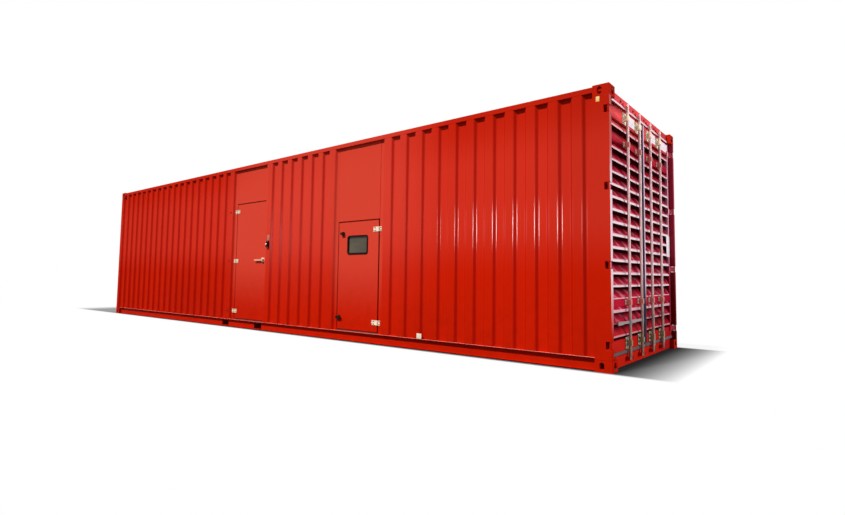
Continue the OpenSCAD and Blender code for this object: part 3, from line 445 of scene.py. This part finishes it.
def tinted_glass(name, colour):
    """Dark safety glass that mirrors the sky."""
    p = Paint(name)
    streak = p.noise(3.5, 2.0, (0.6, 1.0, 2.0)).ramp(0.35, 0.7)
    tone = p.blend(streak, rgb(colour, 0.8), rgb(colour, 1.35))
    return p.finish(tone, streak.math("MULTIPLY_ADD", 0.05, 0.05), normal=p.bump(p.noise(6.0), 0.001, 0.2),
                    coat_weight=0.25, coat_roughness=0.03, specular_ior_level=0.2)


def plain_plate(name, colour, rough=0.5):
    """A bare printed or anodised plate with slight fading."""
    p = Paint(name)
    fade = p.noise(40.0, 3.0).ramp(0.3, 0.7)
    tone = p.blend(fade, rgb(colour, 0.86), rgb(colour, 1.06))
    return p.finish(tone, fade.math("MULTIPLY_ADD", 0.12, rough),
                    normal=p.bump(p.noise(300.0), 0.0002, 0.3))


def make_object(name, mesh, body, material=None):
    """Puts a mesh in the scene and lets it ride on a body."""
    thing = bpy.data.objects.new(name, mesh)
    bpy.context.collection.objects.link(thing)
    if material is not None:
        thing.data.materials.clear()
        thing.data.materials.append(material)
    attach(thing, body)
    return thing


def flatten(thing):
    """A plain mesh of an object as its modifiers leave it."""
    view = bpy.context.evaluated_depsgraph_get()
    mesh = bpy.data.meshes.new_from_object(thing.evaluated_get(view))
    mesh.name = thing.name
    return mesh


def soften(node, width, pick, segments=2, **marks):
    """A copy of a CAD node with rounded edges, which then stands for it.

    pick says which edges are rounded. Each mark says how strongly a face bears it."""
    source = NODES[node]
    shape = bmesh.new()
    shape.from_mesh(source.data)
    bmesh.ops.remove_doubles(shape, verts=shape.verts, dist=MERGE)
    bmesh.ops.dissolve_limit(shape, angle_limit=0.004, verts=shape.verts, edges=shape.edges)
    shape.normal_update()
    edges = [e for e in shape.edges if e.is_manifold and e.is_convex is not None
             and e.calc_face_angle(0.0) > 0.3 and pick(e)]
    bends = bmesh.ops.bevel(shape, geom=edges, offset=width, offset_type="OFFSET", segments=segments,
                            profile=0.5, affect="EDGES", clamp_overlap=True)["faces"]
    for face in bends:
        face.smooth = True
    bmesh.ops.triangulate(shape, faces=shape.faces)
    mesh = bpy.data.meshes.new(node + "_skin")
    shape.to_mesh(mesh)
    shape.free()
    for mark, strength in marks.items():
        layer = mesh.color_attributes.new(mark, "FLOAT_COLOR", "CORNER")
        for face in mesh.polygons:
            share = strength(face.center, face.normal)
            for loop in face.loop_indices:
                layer.data[loop].color = (share, share, share, 1.0)
    body = next(b for b, members in frame["record"]["behaviour"]["bodies"].items() if node in members)
    copy = make_object(node + "_skin", mesh, body, source.material_slots[0].material)
    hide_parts(node)
    return copy


def where(test, strength=1.0):
    """A mark of the given strength on the faces that pass a test of their centre and normal."""
    return lambda centre, normal: strength if test(centre, normal) else 0.0


def dress(material, *nodes):
    """Gives CAD nodes a material."""
    for node in nodes:
        thing = NODES[node]
        if not thing.material_slots:
            thing.data.materials.append(material)
        for slot in thing.material_slots:
            slot.material = material


FINISH = {}                                  # the materials by short names, from the Finishes step


# ---------- repeated pieces ----------


def head_tree(name, sides, washer):
    """Geometry nodes that stand a bolt head on every vertex, facing the way that its turn gives."""
    tree = bpy.data.node_groups.new(name, "GeometryNodeTree")
    face = tree.interface
    face.new_socket("Geometry", in_out="INPUT", socket_type="NodeSocketGeometry")
    for label, value in (("Radius", 0.008), ("Height", 0.006)):
        face.new_socket(label, in_out="INPUT", socket_type="NodeSocketFloat").default_value = value
    face.new_socket("Turn", in_out="INPUT", socket_type="NodeSocketVector")
    face.new_socket("Material", in_out="INPUT", socket_type="NodeSocketMaterial")
    face.new_socket("Geometry", in_out="OUTPUT", socket_type="NodeSocketGeometry")
    nodes, links = tree.nodes, tree.links
    enter, leave = nodes.new("NodeGroupInput"), nodes.new("NodeGroupOutput")

    def add(kind, **inputs):
        node = nodes.new(kind)
        for key, value in inputs.items():
            socket = node.inputs[key.replace("_", " ")]
            if isinstance(value, bpy.types.NodeSocket):
                links.new(value, socket)
            else:
                socket.default_value = value
        return node

    def scaled(socket, factor):
        node = nodes.new("ShaderNodeMath")
        node.operation = "MULTIPLY"
        links.new(socket, node.inputs[0])
        node.inputs[1].default_value = factor
        return node.outputs[0]

    def lifted(mesh, height):
        point = nodes.new("ShaderNodeCombineXYZ")
        links.new(height, point.inputs[2])
        return add("GeometryNodeTransform", Geometry=mesh, Translation=point.outputs[0]).outputs[0]

    radius, height = enter.outputs["Radius"], enter.outputs["Height"]
    head = add("GeometryNodeMeshCone", Vertices=sides, Radius_Top=scaled(radius, 0.86),
               Radius_Bottom=radius, Depth=height)
    parts = [lifted(head.outputs["Mesh"], scaled(height, washer * 0.5))]
    if washer:
        ring = add("GeometryNodeMeshCone", Vertices=14, Radius_Top=scaled(radius, 1.42),
                   Radius_Bottom=scaled(radius, 1.5), Depth=scaled(height, washer))
        parts.append(ring.outputs["Mesh"])
    join = nodes.new("GeometryNodeJoinGeometry")
    for part in parts:
        links.new(part, join.inputs[0])
    points = nodes.new("GeometryNodeMeshToPoints")
    links.new(enter.outputs["Geometry"], points.inputs[0])
    spread = add("GeometryNodeInstanceOnPoints", Points=points.outputs[0], Instance=join.outputs[0])
    turn = nodes.new("FunctionNodeEulerToRotation")
    links.new(enter.outputs["Turn"], turn.inputs[0])
    links.new(turn.outputs[0], spread.inputs["Rotation"])
    real = add("GeometryNodeRealizeInstances", Geometry=spread.outputs[0])
    painted = nodes.new("GeometryNodeSetMaterial")
    links.new(real.outputs[0], painted.inputs[0])
    links.new(enter.outputs["Material"], painted.inputs["Material"])
    links.new(painted.outputs[0], leave.inputs[0])
    return tree


FACING = {"-Y": (math.pi / 2, 0, 0), "+X": (0, math.pi / 2, 0)}


def bolts(name, body, places, facing, radius, height, material, sides=6, washer=0.35):
    """Bolt heads at the given places, all facing one way."""
    seeds = bpy.data.meshes.new(name + "_places")
    seeds.from_pydata([tuple(p) for p in places], [], [])
    thing = bpy.data.objects.new(name + "_places", seeds)
    bpy.context.collection.objects.link(thing)
    key = "bolt_heads_%d_%d" % (sides, round(washer * 100))
    tree = bpy.data.node_groups.get(key) or head_tree(key, sides, washer)
    modifier = thing.modifiers.new("heads", "NODES")
    modifier.node_group = tree
    sockets = {s.name: s.identifier for s in tree.interface.items_tree if s.in_out == "INPUT"}
    modifier[sockets["Radius"]] = radius
    modifier[sockets["Height"]] = height
    modifier[sockets["Turn"]] = FACING[facing]
    modifier[sockets["Material"]] = material
    mesh = flatten(thing)
    mesh.name = name
    thing.modifiers.clear()
    bpy.data.objects.remove(thing)
    return make_object(name, mesh, body)


def slab(name, body, low, high, edge, material):
    """A box with rounded edges."""
    size = high - low
    shape = bmesh.new()
    bmesh.ops.create_cube(shape, size=1.0)
    bmesh.ops.scale(shape, vec=size, verts=shape.verts)
    bmesh.ops.translate(shape, vec=(low + high) / 2, verts=shape.verts)
    bmesh.ops.bevel(shape, geom=shape.edges, offset=min(edge, min(size) * 0.45), segments=2,
                    profile=0.6, affect="EDGES")
    for face in shape.faces:
        face.smooth = True
    mesh = bpy.data.meshes.new(name)
    shape.to_mesh(mesh)
    shape.free()
    mesh.set_sharp_from_angle(angle=math.radians(50))
    return make_object(name, mesh, body, material)


# ---------- settings ----------


class GensetPaint(bpy.types.PropertyGroup):
    """Colours of the enclosure's finishes"""
    body: bpy.props.FloatVectorProperty(
        name="Body paint", description="Colour of the enclosure's enamel", subtype="COLOR",
        size=3, min=0.0, max=1.0, default=(0.56, 0.0115, 0.0008))
    # The louvred end's crimson is painted light: the body's red, tinted for the light that falls on that
    # end.
    door: bpy.props.FloatVectorProperty(
        name="Door paint", description="Colour of the louvred end's enamel", subtype="COLOR",
        size=3, min=0.0, max=1.0, default=(0.52, 0.010, 0.035))
    olive: bpy.props.FloatVectorProperty(
        name="Yellow zinc", description="Colour of the rods' guides", subtype="COLOR",
        size=3, min=0.0, max=1.0, default=(0.42, 0.34, 0.18))
    zinc: bpy.props.FloatVectorProperty(
        name="Zinc", description="Colour of the plated lock gear and hinges", subtype="COLOR",
        size=3, min=0.0, max=1.0, default=(0.82, 0.74, 0.64))
    glass: bpy.props.FloatVectorProperty(
        name="Glass", description="Colour of the door's window", subtype="COLOR",
        size=3, min=0.0, max=1.0, default=(0.070, 0.056, 0.032))


class GensetTrim(bpy.types.PropertyGroup):
    """Sizes of the small pieces"""
    panel_bend: bpy.props.FloatProperty(
        name="Panel bend", description="Setback of the bends in the corrugated panels", unit="LENGTH",
        default=0.011, min=0.001, max=0.02)
    edge: bpy.props.FloatProperty(
        name="Edge", description="Rounding of frame edges", unit="LENGTH",
        default=0.003, min=0.0005, max=0.01)
    bolt: bpy.props.FloatProperty(
        name="Bolt radius", description="Radius of the bolt heads", unit="LENGTH",
        default=0.009, min=0.003, max=0.02)


class GensetStage(bpy.types.PropertyGroup):
    """Camera and light"""
    eye: bpy.props.FloatVectorProperty(
        name="Camera place", description="Where the camera stands", subtype="TRANSLATION",
        size=3, default=(7.900, -6.083, 0.920))
    yaw: bpy.props.FloatProperty(
        name="Yaw", description="Turn of the view from +Y towards -X", subtype="ANGLE",
        default=math.radians(36.73))
    pitch: bpy.props.FloatProperty(
        name="Pitch", description="Upward tilt of the view", subtype="ANGLE", default=math.radians(3.88))
    roll: bpy.props.FloatProperty(
        name="Roll", description="Roll of the camera", subtype="ANGLE", default=math.radians(-0.50))
    lens: bpy.props.FloatProperty(
        name="Lens", description="Focal length on a 36 mm wide sensor, in millimetres",
        default=21.58, min=10.0, max=200.0)
    shift: bpy.props.FloatVectorProperty(
        name="Shift", description="Sideways and upward shift of the picture, in picture widths",
        subtype="XYZ", size=2, default=(-0.047, -0.017))
    sky: bpy.props.FloatProperty(
        name="Sky", description="Strength of the light from all round", default=0.30, min=0.0, max=3.0)
    sun: bpy.props.FloatProperty(
        name="Sun", description="Strength of the main light", default=4.0, min=0.0, max=10.0)
    end_light: bpy.props.FloatProperty(
        name="End light", description="Strength of the soft light on the louvred end",
        default=2.4, min=0.0, max=10.0)
    window: bpy.props.FloatProperty(
        name="Window light", description="Power of the bright panel that the enamel mirrors", unit="POWER",
        default=450.0, min=0.0, max=2000.0)


# ---------- operators ----------


class GENSET_OT_finishes(bpy.types.Operator):
    """Make the finishes and put them on the CAD pieces"""
    bl_idname = "genset.finishes"
    bl_label = "Finishes"

    def execute(self, context):
        paint = context.scene.genset_paint
        body, zinc = tuple(paint.body), tuple(paint.zinc)
        FINISH.update(
            red=gloss_paint("enclosure_enamel", body, shade=wall_shade),
            # the door and blade finishes carry painted light: their crimson and their shade functions
            door=gloss_paint("door_enamel_painted_light", tuple(paint.door), shade=door_shade),
            blade=gloss_paint("blade_enamel_painted_light", tuple(paint.door), shade=blade_shade),
            under=gloss_paint("underside_enamel", tuple(c * 0.5 for c in body), low_dark=0.6, rough=0.5),
            floor=gloss_paint("floor_coating", (0.09, 0.09, 0.085), low_dark=0.1, rough=0.6),
            zinc=zinc_metal("zinc_plating", zinc, shade=rod_shade),
            hinge=plain_plate("hinge_plating", (0.92, 0.76, 0.56), rough=0.4),
            lever=zinc_metal("lever_plating", (0.66, 0.44, 0.27)),
            olive=zinc_metal("yellow_zinc", tuple(paint.olive), shade=guide_shade),
            cream=plain_plate("cream_plate", (0.78, 0.68, 0.52)),
            yellow=plain_plate("yellow_plate", (0.80, 0.56, 0.16)),
            white=plain_plate("white_plate", (0.95, 0.84, 0.90)),
            label=plain_plate("label_plate", (0.46, 0.14, 0.08)),
            black=dark_polymer("black_plastic", (0.012, 0.002, 0.001)),
            rubber=dark_polymer("seal_rubber", (0.013, 0.006, 0.026), rough=0.5, grain=200.0,
                                shade=seal_shade),
            bolt=dark_polymer("dark_bolt", (0.07, 0.006, 0.003), rough=0.4),
            glass=tinted_glass("window_tint", tuple(paint.glass)),
            button=dark_polymer("button_plastic", (0.62, 0.40, 0.33), rough=0.3))
        slots = {p["node"]: p["material_slot"] for p in frame["record"]["subparts"]}
        look = {"enclosure_paint": "red", "underside_paint": "under", "floor_steel": "floor",
                "zinc_plate": "zinc", "black_plastic": "black", "dark_rubber": "rubber",
                "window_glass": "glass", "button_plastic": "button"}
        for node, slot in slots.items():
            dress(FINISH[look[slot]], node)
        dress(FINISH["door"], "near_leaf_frame", "far_leaf_frame", "door_header", "door_sill",
              "lock_keepers", "door_hinge_pins")
        dress(FINISH["blade"], "near_leaf_blades", "far_leaf_blades")
        dress(FINISH["olive"], "near_leaf_guides", "far_leaf_guides")
        dress(FINISH["black"], "window_rubber_frame")
        dress(FINISH["hinge"], "door_1_fittings", "door_2_fittings", "side_door_hinge_plates")
        dress(FINISH["lever"], "door_1_lever")
        return {"FINISHED"}


class GENSET_OT_panels(bpy.types.Operator):
    """Round the bends of the corrugated panels and the edges of the frame"""
    bl_idname = "genset.panels"
    bl_label = "Panels and frame"

    def execute(self, context):
        trim = context.scene.genset_trim

        def vertical(edge):
            return abs((edge.verts[0].co - edge.verts[1].co).normalized().z) > 0.99

        def lengthy(edge):
            return edge.calc_length() > 0.02

        def fold(edge):
            """A bend of the corrugations, in the outer plane of a long side or of its bays."""
            depth = abs(edge.verts[0].co.y)
            outside = min(abs(depth - abs(plane)) for plane in (OUT_Y, BAY_Y)) < 1e-4
            return outside and edge.calc_length() > 0.3 and vertical(edge)

        for node in ("near_wall_left", "near_wall_middle", "near_wall_right", "far_wall"):
            soften(node, trim.panel_bend, fold, segments=5,
                   bend=where(lambda c, n: 0.72 < abs(n.y) < 0.998 and abs(n.z) < 0.1))
        # painted highlight: the bottom side rails' outer lip is marked to be painted bright
        soften("bottom_side_rails", trim.edge * 0.5, lambda e: e.calc_length() > 0.5,
               lip=where(lambda c, n: abs(c.y) > abs(OUT_Y) - 0.002 and c.z > FOOT_Z - 0.012, 0.9))
        soften("closed_end_wall", trim.panel_bend, vertical)
        for node in ("side_door_1", "side_door_2", "far_side_doors", "closed_end_posts",
                     "top_side_rails", "door_sill", "closed_end_rails"):
            soften(node, trim.edge, lengthy)
        # painted highlight: the near leaf's hinge-side edge is marked to be painted bright
        soften("near_leaf_frame", trim.edge, lengthy,
               rim=where(lambda c, n: n.x > OUTWARD and c.y < OUT_Y + 0.08, 0.75))
        # painted highlight: the castings' near-facing bevels that turn towards mid-height are marked to be
        # painted bright
        for node in ("bottom_castings", "top_castings"):
            soften(node, trim.edge * 1.6, lengthy,
                   pale=where(lambda c, n: n.y < -0.4 and n.z * (0.5 - c.z) > 0.2, 0.8))
        # painted highlight: the near post's outward edge face is marked to be painted bright
        soften("door_end_posts", trim.edge, lengthy,
               rim=where(lambda c, n: n.x > OUTWARD and c.y < 0 and c.x > LEAF_X, 0.85))
        # painted highlight: the far leaf's faces that look towards the near side are marked to be painted
        # bright
        soften("far_leaf_frame", trim.edge, lengthy,
               pale=where(lambda c, n: n.y < -OUTWARD and c.y < 0.02, 0.8))
        # painted highlight: the header's lowest outward face is marked to be painted bright
        soften("door_header", trim.edge * 0.6, lengthy,
               pale=where(lambda c, n: n.x > OUTWARD and c.z < RAIL_Z + 0.001, 1.6))
        # painted highlight: the blades' outward lips are marked to be painted bright
        for node in ("near_leaf_blades", "far_leaf_blades"):
            soften(node, 0.0008, lambda e: e.calc_length() > 0.2 and e.verts[0].co.x > LEAF_X - 0.01,
                   pale=where(lambda c, n: n.x > OUTWARD and c.x > LEAF_X - 0.005))
        return {"FINISHED"}


class GENSET_OT_plates(bpy.types.Operator):
    """Add the small bare plates"""
    bl_idname = "genset.plates"
    bl_label = "Plates"

    def execute(self, context):
        low, high = span("stop_box")
        self.plate("stop_label", ROOT, "label",
                   (low.x, OUT_Y, high.z + 0.012), (high.x, OUT_Y, high.z + 0.1))
        self.plate("rating_plate", ROOT, "cream",
                   (3.56, OUT_Y, FOOT_Z + 0.002), (3.64, OUT_Y, FOOT_Z + 0.067))
        self.plate("post_plate", ROOT, "yellow",
                   (END_X - 0.140, OUT_Y, 2.720), (END_X - 0.102, OUT_Y, 2.772))
        # a white plate standing for a patch of light on the far leaf: a painted highlight
        self.plate("far_light_patch_plate", FAR, "white", (LEAF_X, 0.99, 1.22), (LEAF_X, 1.146, 1.50))
        top = LEAF_TOP - PLATE_DROP
        for name, body, y0, y1 in (("near_plate", NEAR, -0.55, -0.27), ("far_plate_1", FAR, 0.27, 0.55),
                                   ("far_plate_2", FAR, 0.68, 1.10)):
            self.plate(name, body, "white", (LEAF_X, y0, top - PLATE_HEIGHT), (LEAF_X, y1, top))
        return {"FINISHED"}

    def plate(self, name, body, finish, low, high):
        """A thin plate on the wall or on a leaf, between two corners of the surface that it lies on."""
        low, high = Vector(low), Vector(high)
        if low.y == high.y:
            low.y, high.y = low.y - PLATE_PROUD, high.y + PLATE_SUNK
        else:
            low.x, high.x = low.x - PLATE_SUNK, high.x + PLATE_PROUD
        slab(name, body, low, high, PLATE_SUNK, FINISH[finish])


class GENSET_OT_bolts(bpy.types.Operator):
    """Add the bolts and screws"""
    bl_idname = "genset.bolts"
    bl_label = "Bolts"

    def execute(self, context):
        size = context.scene.genset_trim.bolt
        for side, body in (("near", NEAR), ("far", FAR)):
            places = []
            for low, high in islands(side + "_leaf_guides"):
                levels = (low.z + GUIDE_END, (low.z + high.z) / 2, high.z - GUIDE_END)
                short = high.z - low.z < 0.1
                if short:
                    levels = levels[::2]
                sides = (low.y + GUIDE_SIDE, high.y - GUIDE_SIDE)
                places += [(LEAF_X + GUIDE_FACE, y, z) for y in sides for z in levels]
            bolts(side + "_guide_bolts", body, places, "+X", size, 0.006, FINISH["cream"])
        keepers = sorted({round(low.y, 3) for low, high in islands("lock_keepers")})
        dots = [(HEADER_X + 0.002, y - HEADER_BOLT_OFF, HEADER_BOLT_Z) for y in keepers[::2]]
        bolts("header_bolts", ROOT, dots, "+X", BUTTON_RADIUS, BUTTON_HEIGHT, FINISH["bolt"],
              sides=14, washer=0)
        self.hinge_screws()
        low, high = span("stop_box")
        corners = [(x, low.y, z) for x in (low.x + 0.007, high.x - 0.007)
                   for z in (low.z + 0.008, high.z - 0.008)]
        bolts("stop_box_screws", ROOT, corners, "-Y", 0.0035, 0.002, FINISH["zinc"],
              sides=10, washer=0)
        return {"FINISHED"}

    def hinge_screws(self):
        """Low screws in the hinge plates, and the wall bolts beside the first door's hinges."""
        screw_y = BAY_Y - HINGE_FACE
        screws = {DOOR_1: [], DOOR_2: [], ROOT: []}
        # the fittings' hinge plates are told from the rest by their height
        hinges = [box for node in ("door_1_fittings", "door_2_fittings") for box in islands(node)
                  if 0.05 < box[1].z - box[0].z < 0.09 and box[1].y - box[0].y > 0.01]
        wall_bolts = []
        for low, high in hinges:
            middle = (low.z + high.z) / 2
            first = low.x < 0
            edge, away = (high.x, -1) if first else (low.x, 1)
            body = DOOR_1 if first else DOOR_2
            screws[body] += [(edge + away * (HINGE_INSET + k * SCREW_STEP), screw_y, middle + s * SCREW_RISE)
                             for k in (0, 1) for s in (-1, 1)]
            if first:
                wall_bolts.append((low.x - WALL_BOLT_OFF, OUT_Y - 0.001, middle))
        for low, high in islands("side_door_hinge_plates"):
            middle = (low.z + high.z) / 2
            edge, away = (low.x, 1) if low.x < 0 else (high.x, -1)
            screws[ROOT] += [(edge + away * PLATE_INSET, screw_y, middle + s * SCREW_RISE) for s in (-1, 1)]
        for body, places in screws.items():
            bolts(body + "_hinge_screws", body, places, "-Y", 0.0085, 0.003, FINISH["bolt"],
                  sides=12, washer=0)
        bolts("wall_bolts", ROOT, wall_bolts, "-Y", BUTTON_RADIUS, BUTTON_HEIGHT, FINISH["bolt"],
              washer=0)


class GENSET_OT_stage(bpy.types.Operator):
    """Set the camera, the floor and the light"""
    bl_idname = "genset.stage"
    bl_label = "Stage"

    def execute(self, context):
        context.scene.view_settings.view_transform = "Standard"
        view = context.scene.genset_stage
        self.camera(context, view)
        self.lamps(context, view)
        self.sky(context.scene, view)
        self.floor(context)
        return {"FINISHED"}

    def camera(self, context, view):
        """The camera, placed and turned as the settings say."""
        camera = bpy.data.cameras.new("camera")
        camera.sensor_width = 36.0
        camera.lens = view.lens
        camera.shift_x, camera.shift_y = view.shift
        camera.clip_end = 500.0
        seat = bpy.data.objects.new("camera", camera)
        context.collection.objects.link(seat)
        turn = Matrix.Rotation(view.yaw, 3, "Z")
        turn = turn @ Matrix.Rotation(view.pitch, 3, "X") @ Matrix.Rotation(view.roll, 3, "Y")
        right, ahead, up = (turn @ Vector(v) for v in ((1, 0, 0), (0, 1, 0), (0, 0, 1)))
        place = Matrix((right, up, -ahead)).transposed().to_4x4()
        place.translation = Vector(view.eye)
        seat.matrix_world = place
        context.scene.camera = seat

    def lamps(self, context, view):
        """The sun, a soft light on the louvred end, and the panel that the enamel mirrors."""
        for name, power, angle, towards in (("main_light", view.sun, 5, (-0.25, -1.08, 1.4)),
                                            ("end_light", view.end_light, 35, (0.9, 0.55, 0.3))):
            sun = bpy.data.lights.new(name, "SUN")
            sun.energy = power
            sun.angle = math.radians(angle)
            lamp = bpy.data.objects.new(name, sun)
            context.collection.objects.link(lamp)
            lamp.rotation_euler = Vector(towards).to_track_quat("Z", "Y").to_euler()
        window = bpy.data.lights.new("window_light", "AREA")
        window.shape = "RECTANGLE"
        window.size, window.size_y = 1.3, 1.2
        window.energy = view.window
        lamp = bpy.data.objects.new("window_light", window)
        context.collection.objects.link(lamp)
        lamp.location = (6.8, -9.0, 2.3)
        lamp.visible_diffuse = False
        lamp.visible_camera = False
        lamp.rotation_euler = (lamp.location - Vector((5.0, OUT_Y, 1.5))).to_track_quat("Z", "Y").to_euler()

    def sky(self, scene, view):
        """White to the camera and in mirrors and glass, and a plain soft light otherwise."""
        scene.world = bpy.data.worlds.new("studio")
        sky = Shader(scene.world)
        soft, white = (sky.node("ShaderNodeBackground", {}, {"Color": SNOW, "Strength": strength})
                       for strength in (view.sky, 1.0))
        mix = sky.node("ShaderNodeMixShader", {}, {0: sky.seen(), 1: soft.outputs[0], 2: white.outputs[0]})
        sky.node("ShaderNodeOutputWorld", {}, {0: mix.outputs[0]})

    def floor(self, context):
        """A white floor with the object's shadow in front, a painted contact shadow close to the object, and
        a painted soft grey shadow beyond each end.
        """
        shape = bmesh.new()
        bmesh.ops.create_grid(shape, x_segments=1, y_segments=1, size=120.0)
        mesh = bpy.data.meshes.new("floor")
        shape.to_mesh(mesh)
        shape.free()
        floor = bpy.data.objects.new("floor", mesh)
        context.collection.objects.link(floor)
        p = Paint("pale_floor")
        seen = p.seen()
        # painted contact shadow: to the camera, the floor's colour darkens by ambient occlusion close to the
        # object
        nook = p.node("ShaderNodeAmbientOcclusion", {"samples": 8}, {"Distance": 1.0})
        near = Value(p, nook.outputs["AO"])
        pale = p.blend(near * near * near, (0.05, 0.052, 0.054, 1.0), (0.86, 0.86, 0.86, 1.0))
        lit = p.node("ShaderNodeBsdfDiffuse", {}, {"Color": p.blend(seen, (0.12, 0.12, 0.12, 1.0), pale)})
        # how white the painted shadow is beyond each end, from the shadow's foot outwards
        fading = ((p.x - END_X) * (1 / SHADOW_REACH)).math("MAXIMUM", 0.0).math("MINIMUM", 1.0)
        door_end = (fading * 0.85 + 0.15).math("POWER", 2.2)
        closed_end = (p.x * -1.0 - END_X).ramp(1.6, 3.1, 0.27, 1.0)
        dim = p.node("ShaderNodeMix", {"data_type": "FLOAT"}, {
            0: p.x.ramp(-0.1, 0.1), 2: closed_end, 3: door_end})
        within = p.y.math("ABSOLUTE").ramp(1.20, 1.30, 1.0, 0.0)
        grey = p.blend(within * (1.0 - Value(p, dim.outputs[0])), SNOW, SHADE_BLACK)
        white = p.node("ShaderNodeEmission", {}, {"Color": grey, "Strength": 1.0})
        # the lit floor, with the real shadow, shows only close to the object
        beyond = (p.x.math("ABSOLUTE") - END_X).ramp(-0.14, -0.10, 0.0, 0.9)
        before = (p.y * -1.0 + OUT_Y).ramp(0.01, 0.04)
        behind = (p.y + OUT_Y).ramp(0.0, 0.6)
        away = beyond.math("MAXIMUM", before).math("MAXIMUM", behind) * seen
        pick = p.node("ShaderNodeMixShader", {}, {0: away, 1: lit.outputs[0], 2: white.outputs[0]})
        p.node("ShaderNodeOutputMaterial", {}, {0: pick.outputs[0]})
        mesh.materials.append(p.material)


class GENSET_PT_panel(bpy.types.Panel):
    """The settings and the steps, in the sidebar"""
    bl_label = "Generator set"
    bl_idname = "GENSET_PT_panel"
    bl_space_type = "VIEW_3D"
    bl_region_type = "UI"
    bl_category = "Genset"

    def draw(self, context):
        scene = context.scene
        for group in (scene.genset_paint, scene.genset_trim, scene.genset_stage):
            for key in group.__annotations__:
                self.layout.prop(group, key)
        for operator in OPERATORS:
            self.layout.operator(operator.bl_idname)


OPERATORS = (GENSET_OT_finishes, GENSET_OT_panels, GENSET_OT_plates, GENSET_OT_bolts, GENSET_OT_stage)
CLASSES = (GensetPaint, GensetTrim, GensetStage) + OPERATORS + (GENSET_PT_panel,)


def register():
    for cls in CLASSES:
        bpy.utils.register_class(cls)
    bpy.types.Scene.genset_paint = bpy.props.PointerProperty(type=GensetPaint)
    bpy.types.Scene.genset_trim = bpy.props.PointerProperty(type=GensetTrim)
    bpy.types.Scene.genset_stage = bpy.props.PointerProperty(type=GensetStage)


def unregister():
    for key in ("genset_paint", "genset_trim", "genset_stage"):
        delattr(bpy.types.Scene, key)
    for cls in reversed(CLASSES):
        bpy.utils.unregister_class(cls)


def main():
    register()
    bpy.ops.genset.stage()
    bpy.ops.genset.finishes()
    bpy.ops.genset.panels()
    bpy.ops.genset.plates()
    bpy.ops.genset.bolts()


if __name__ == "__main__":
    main()
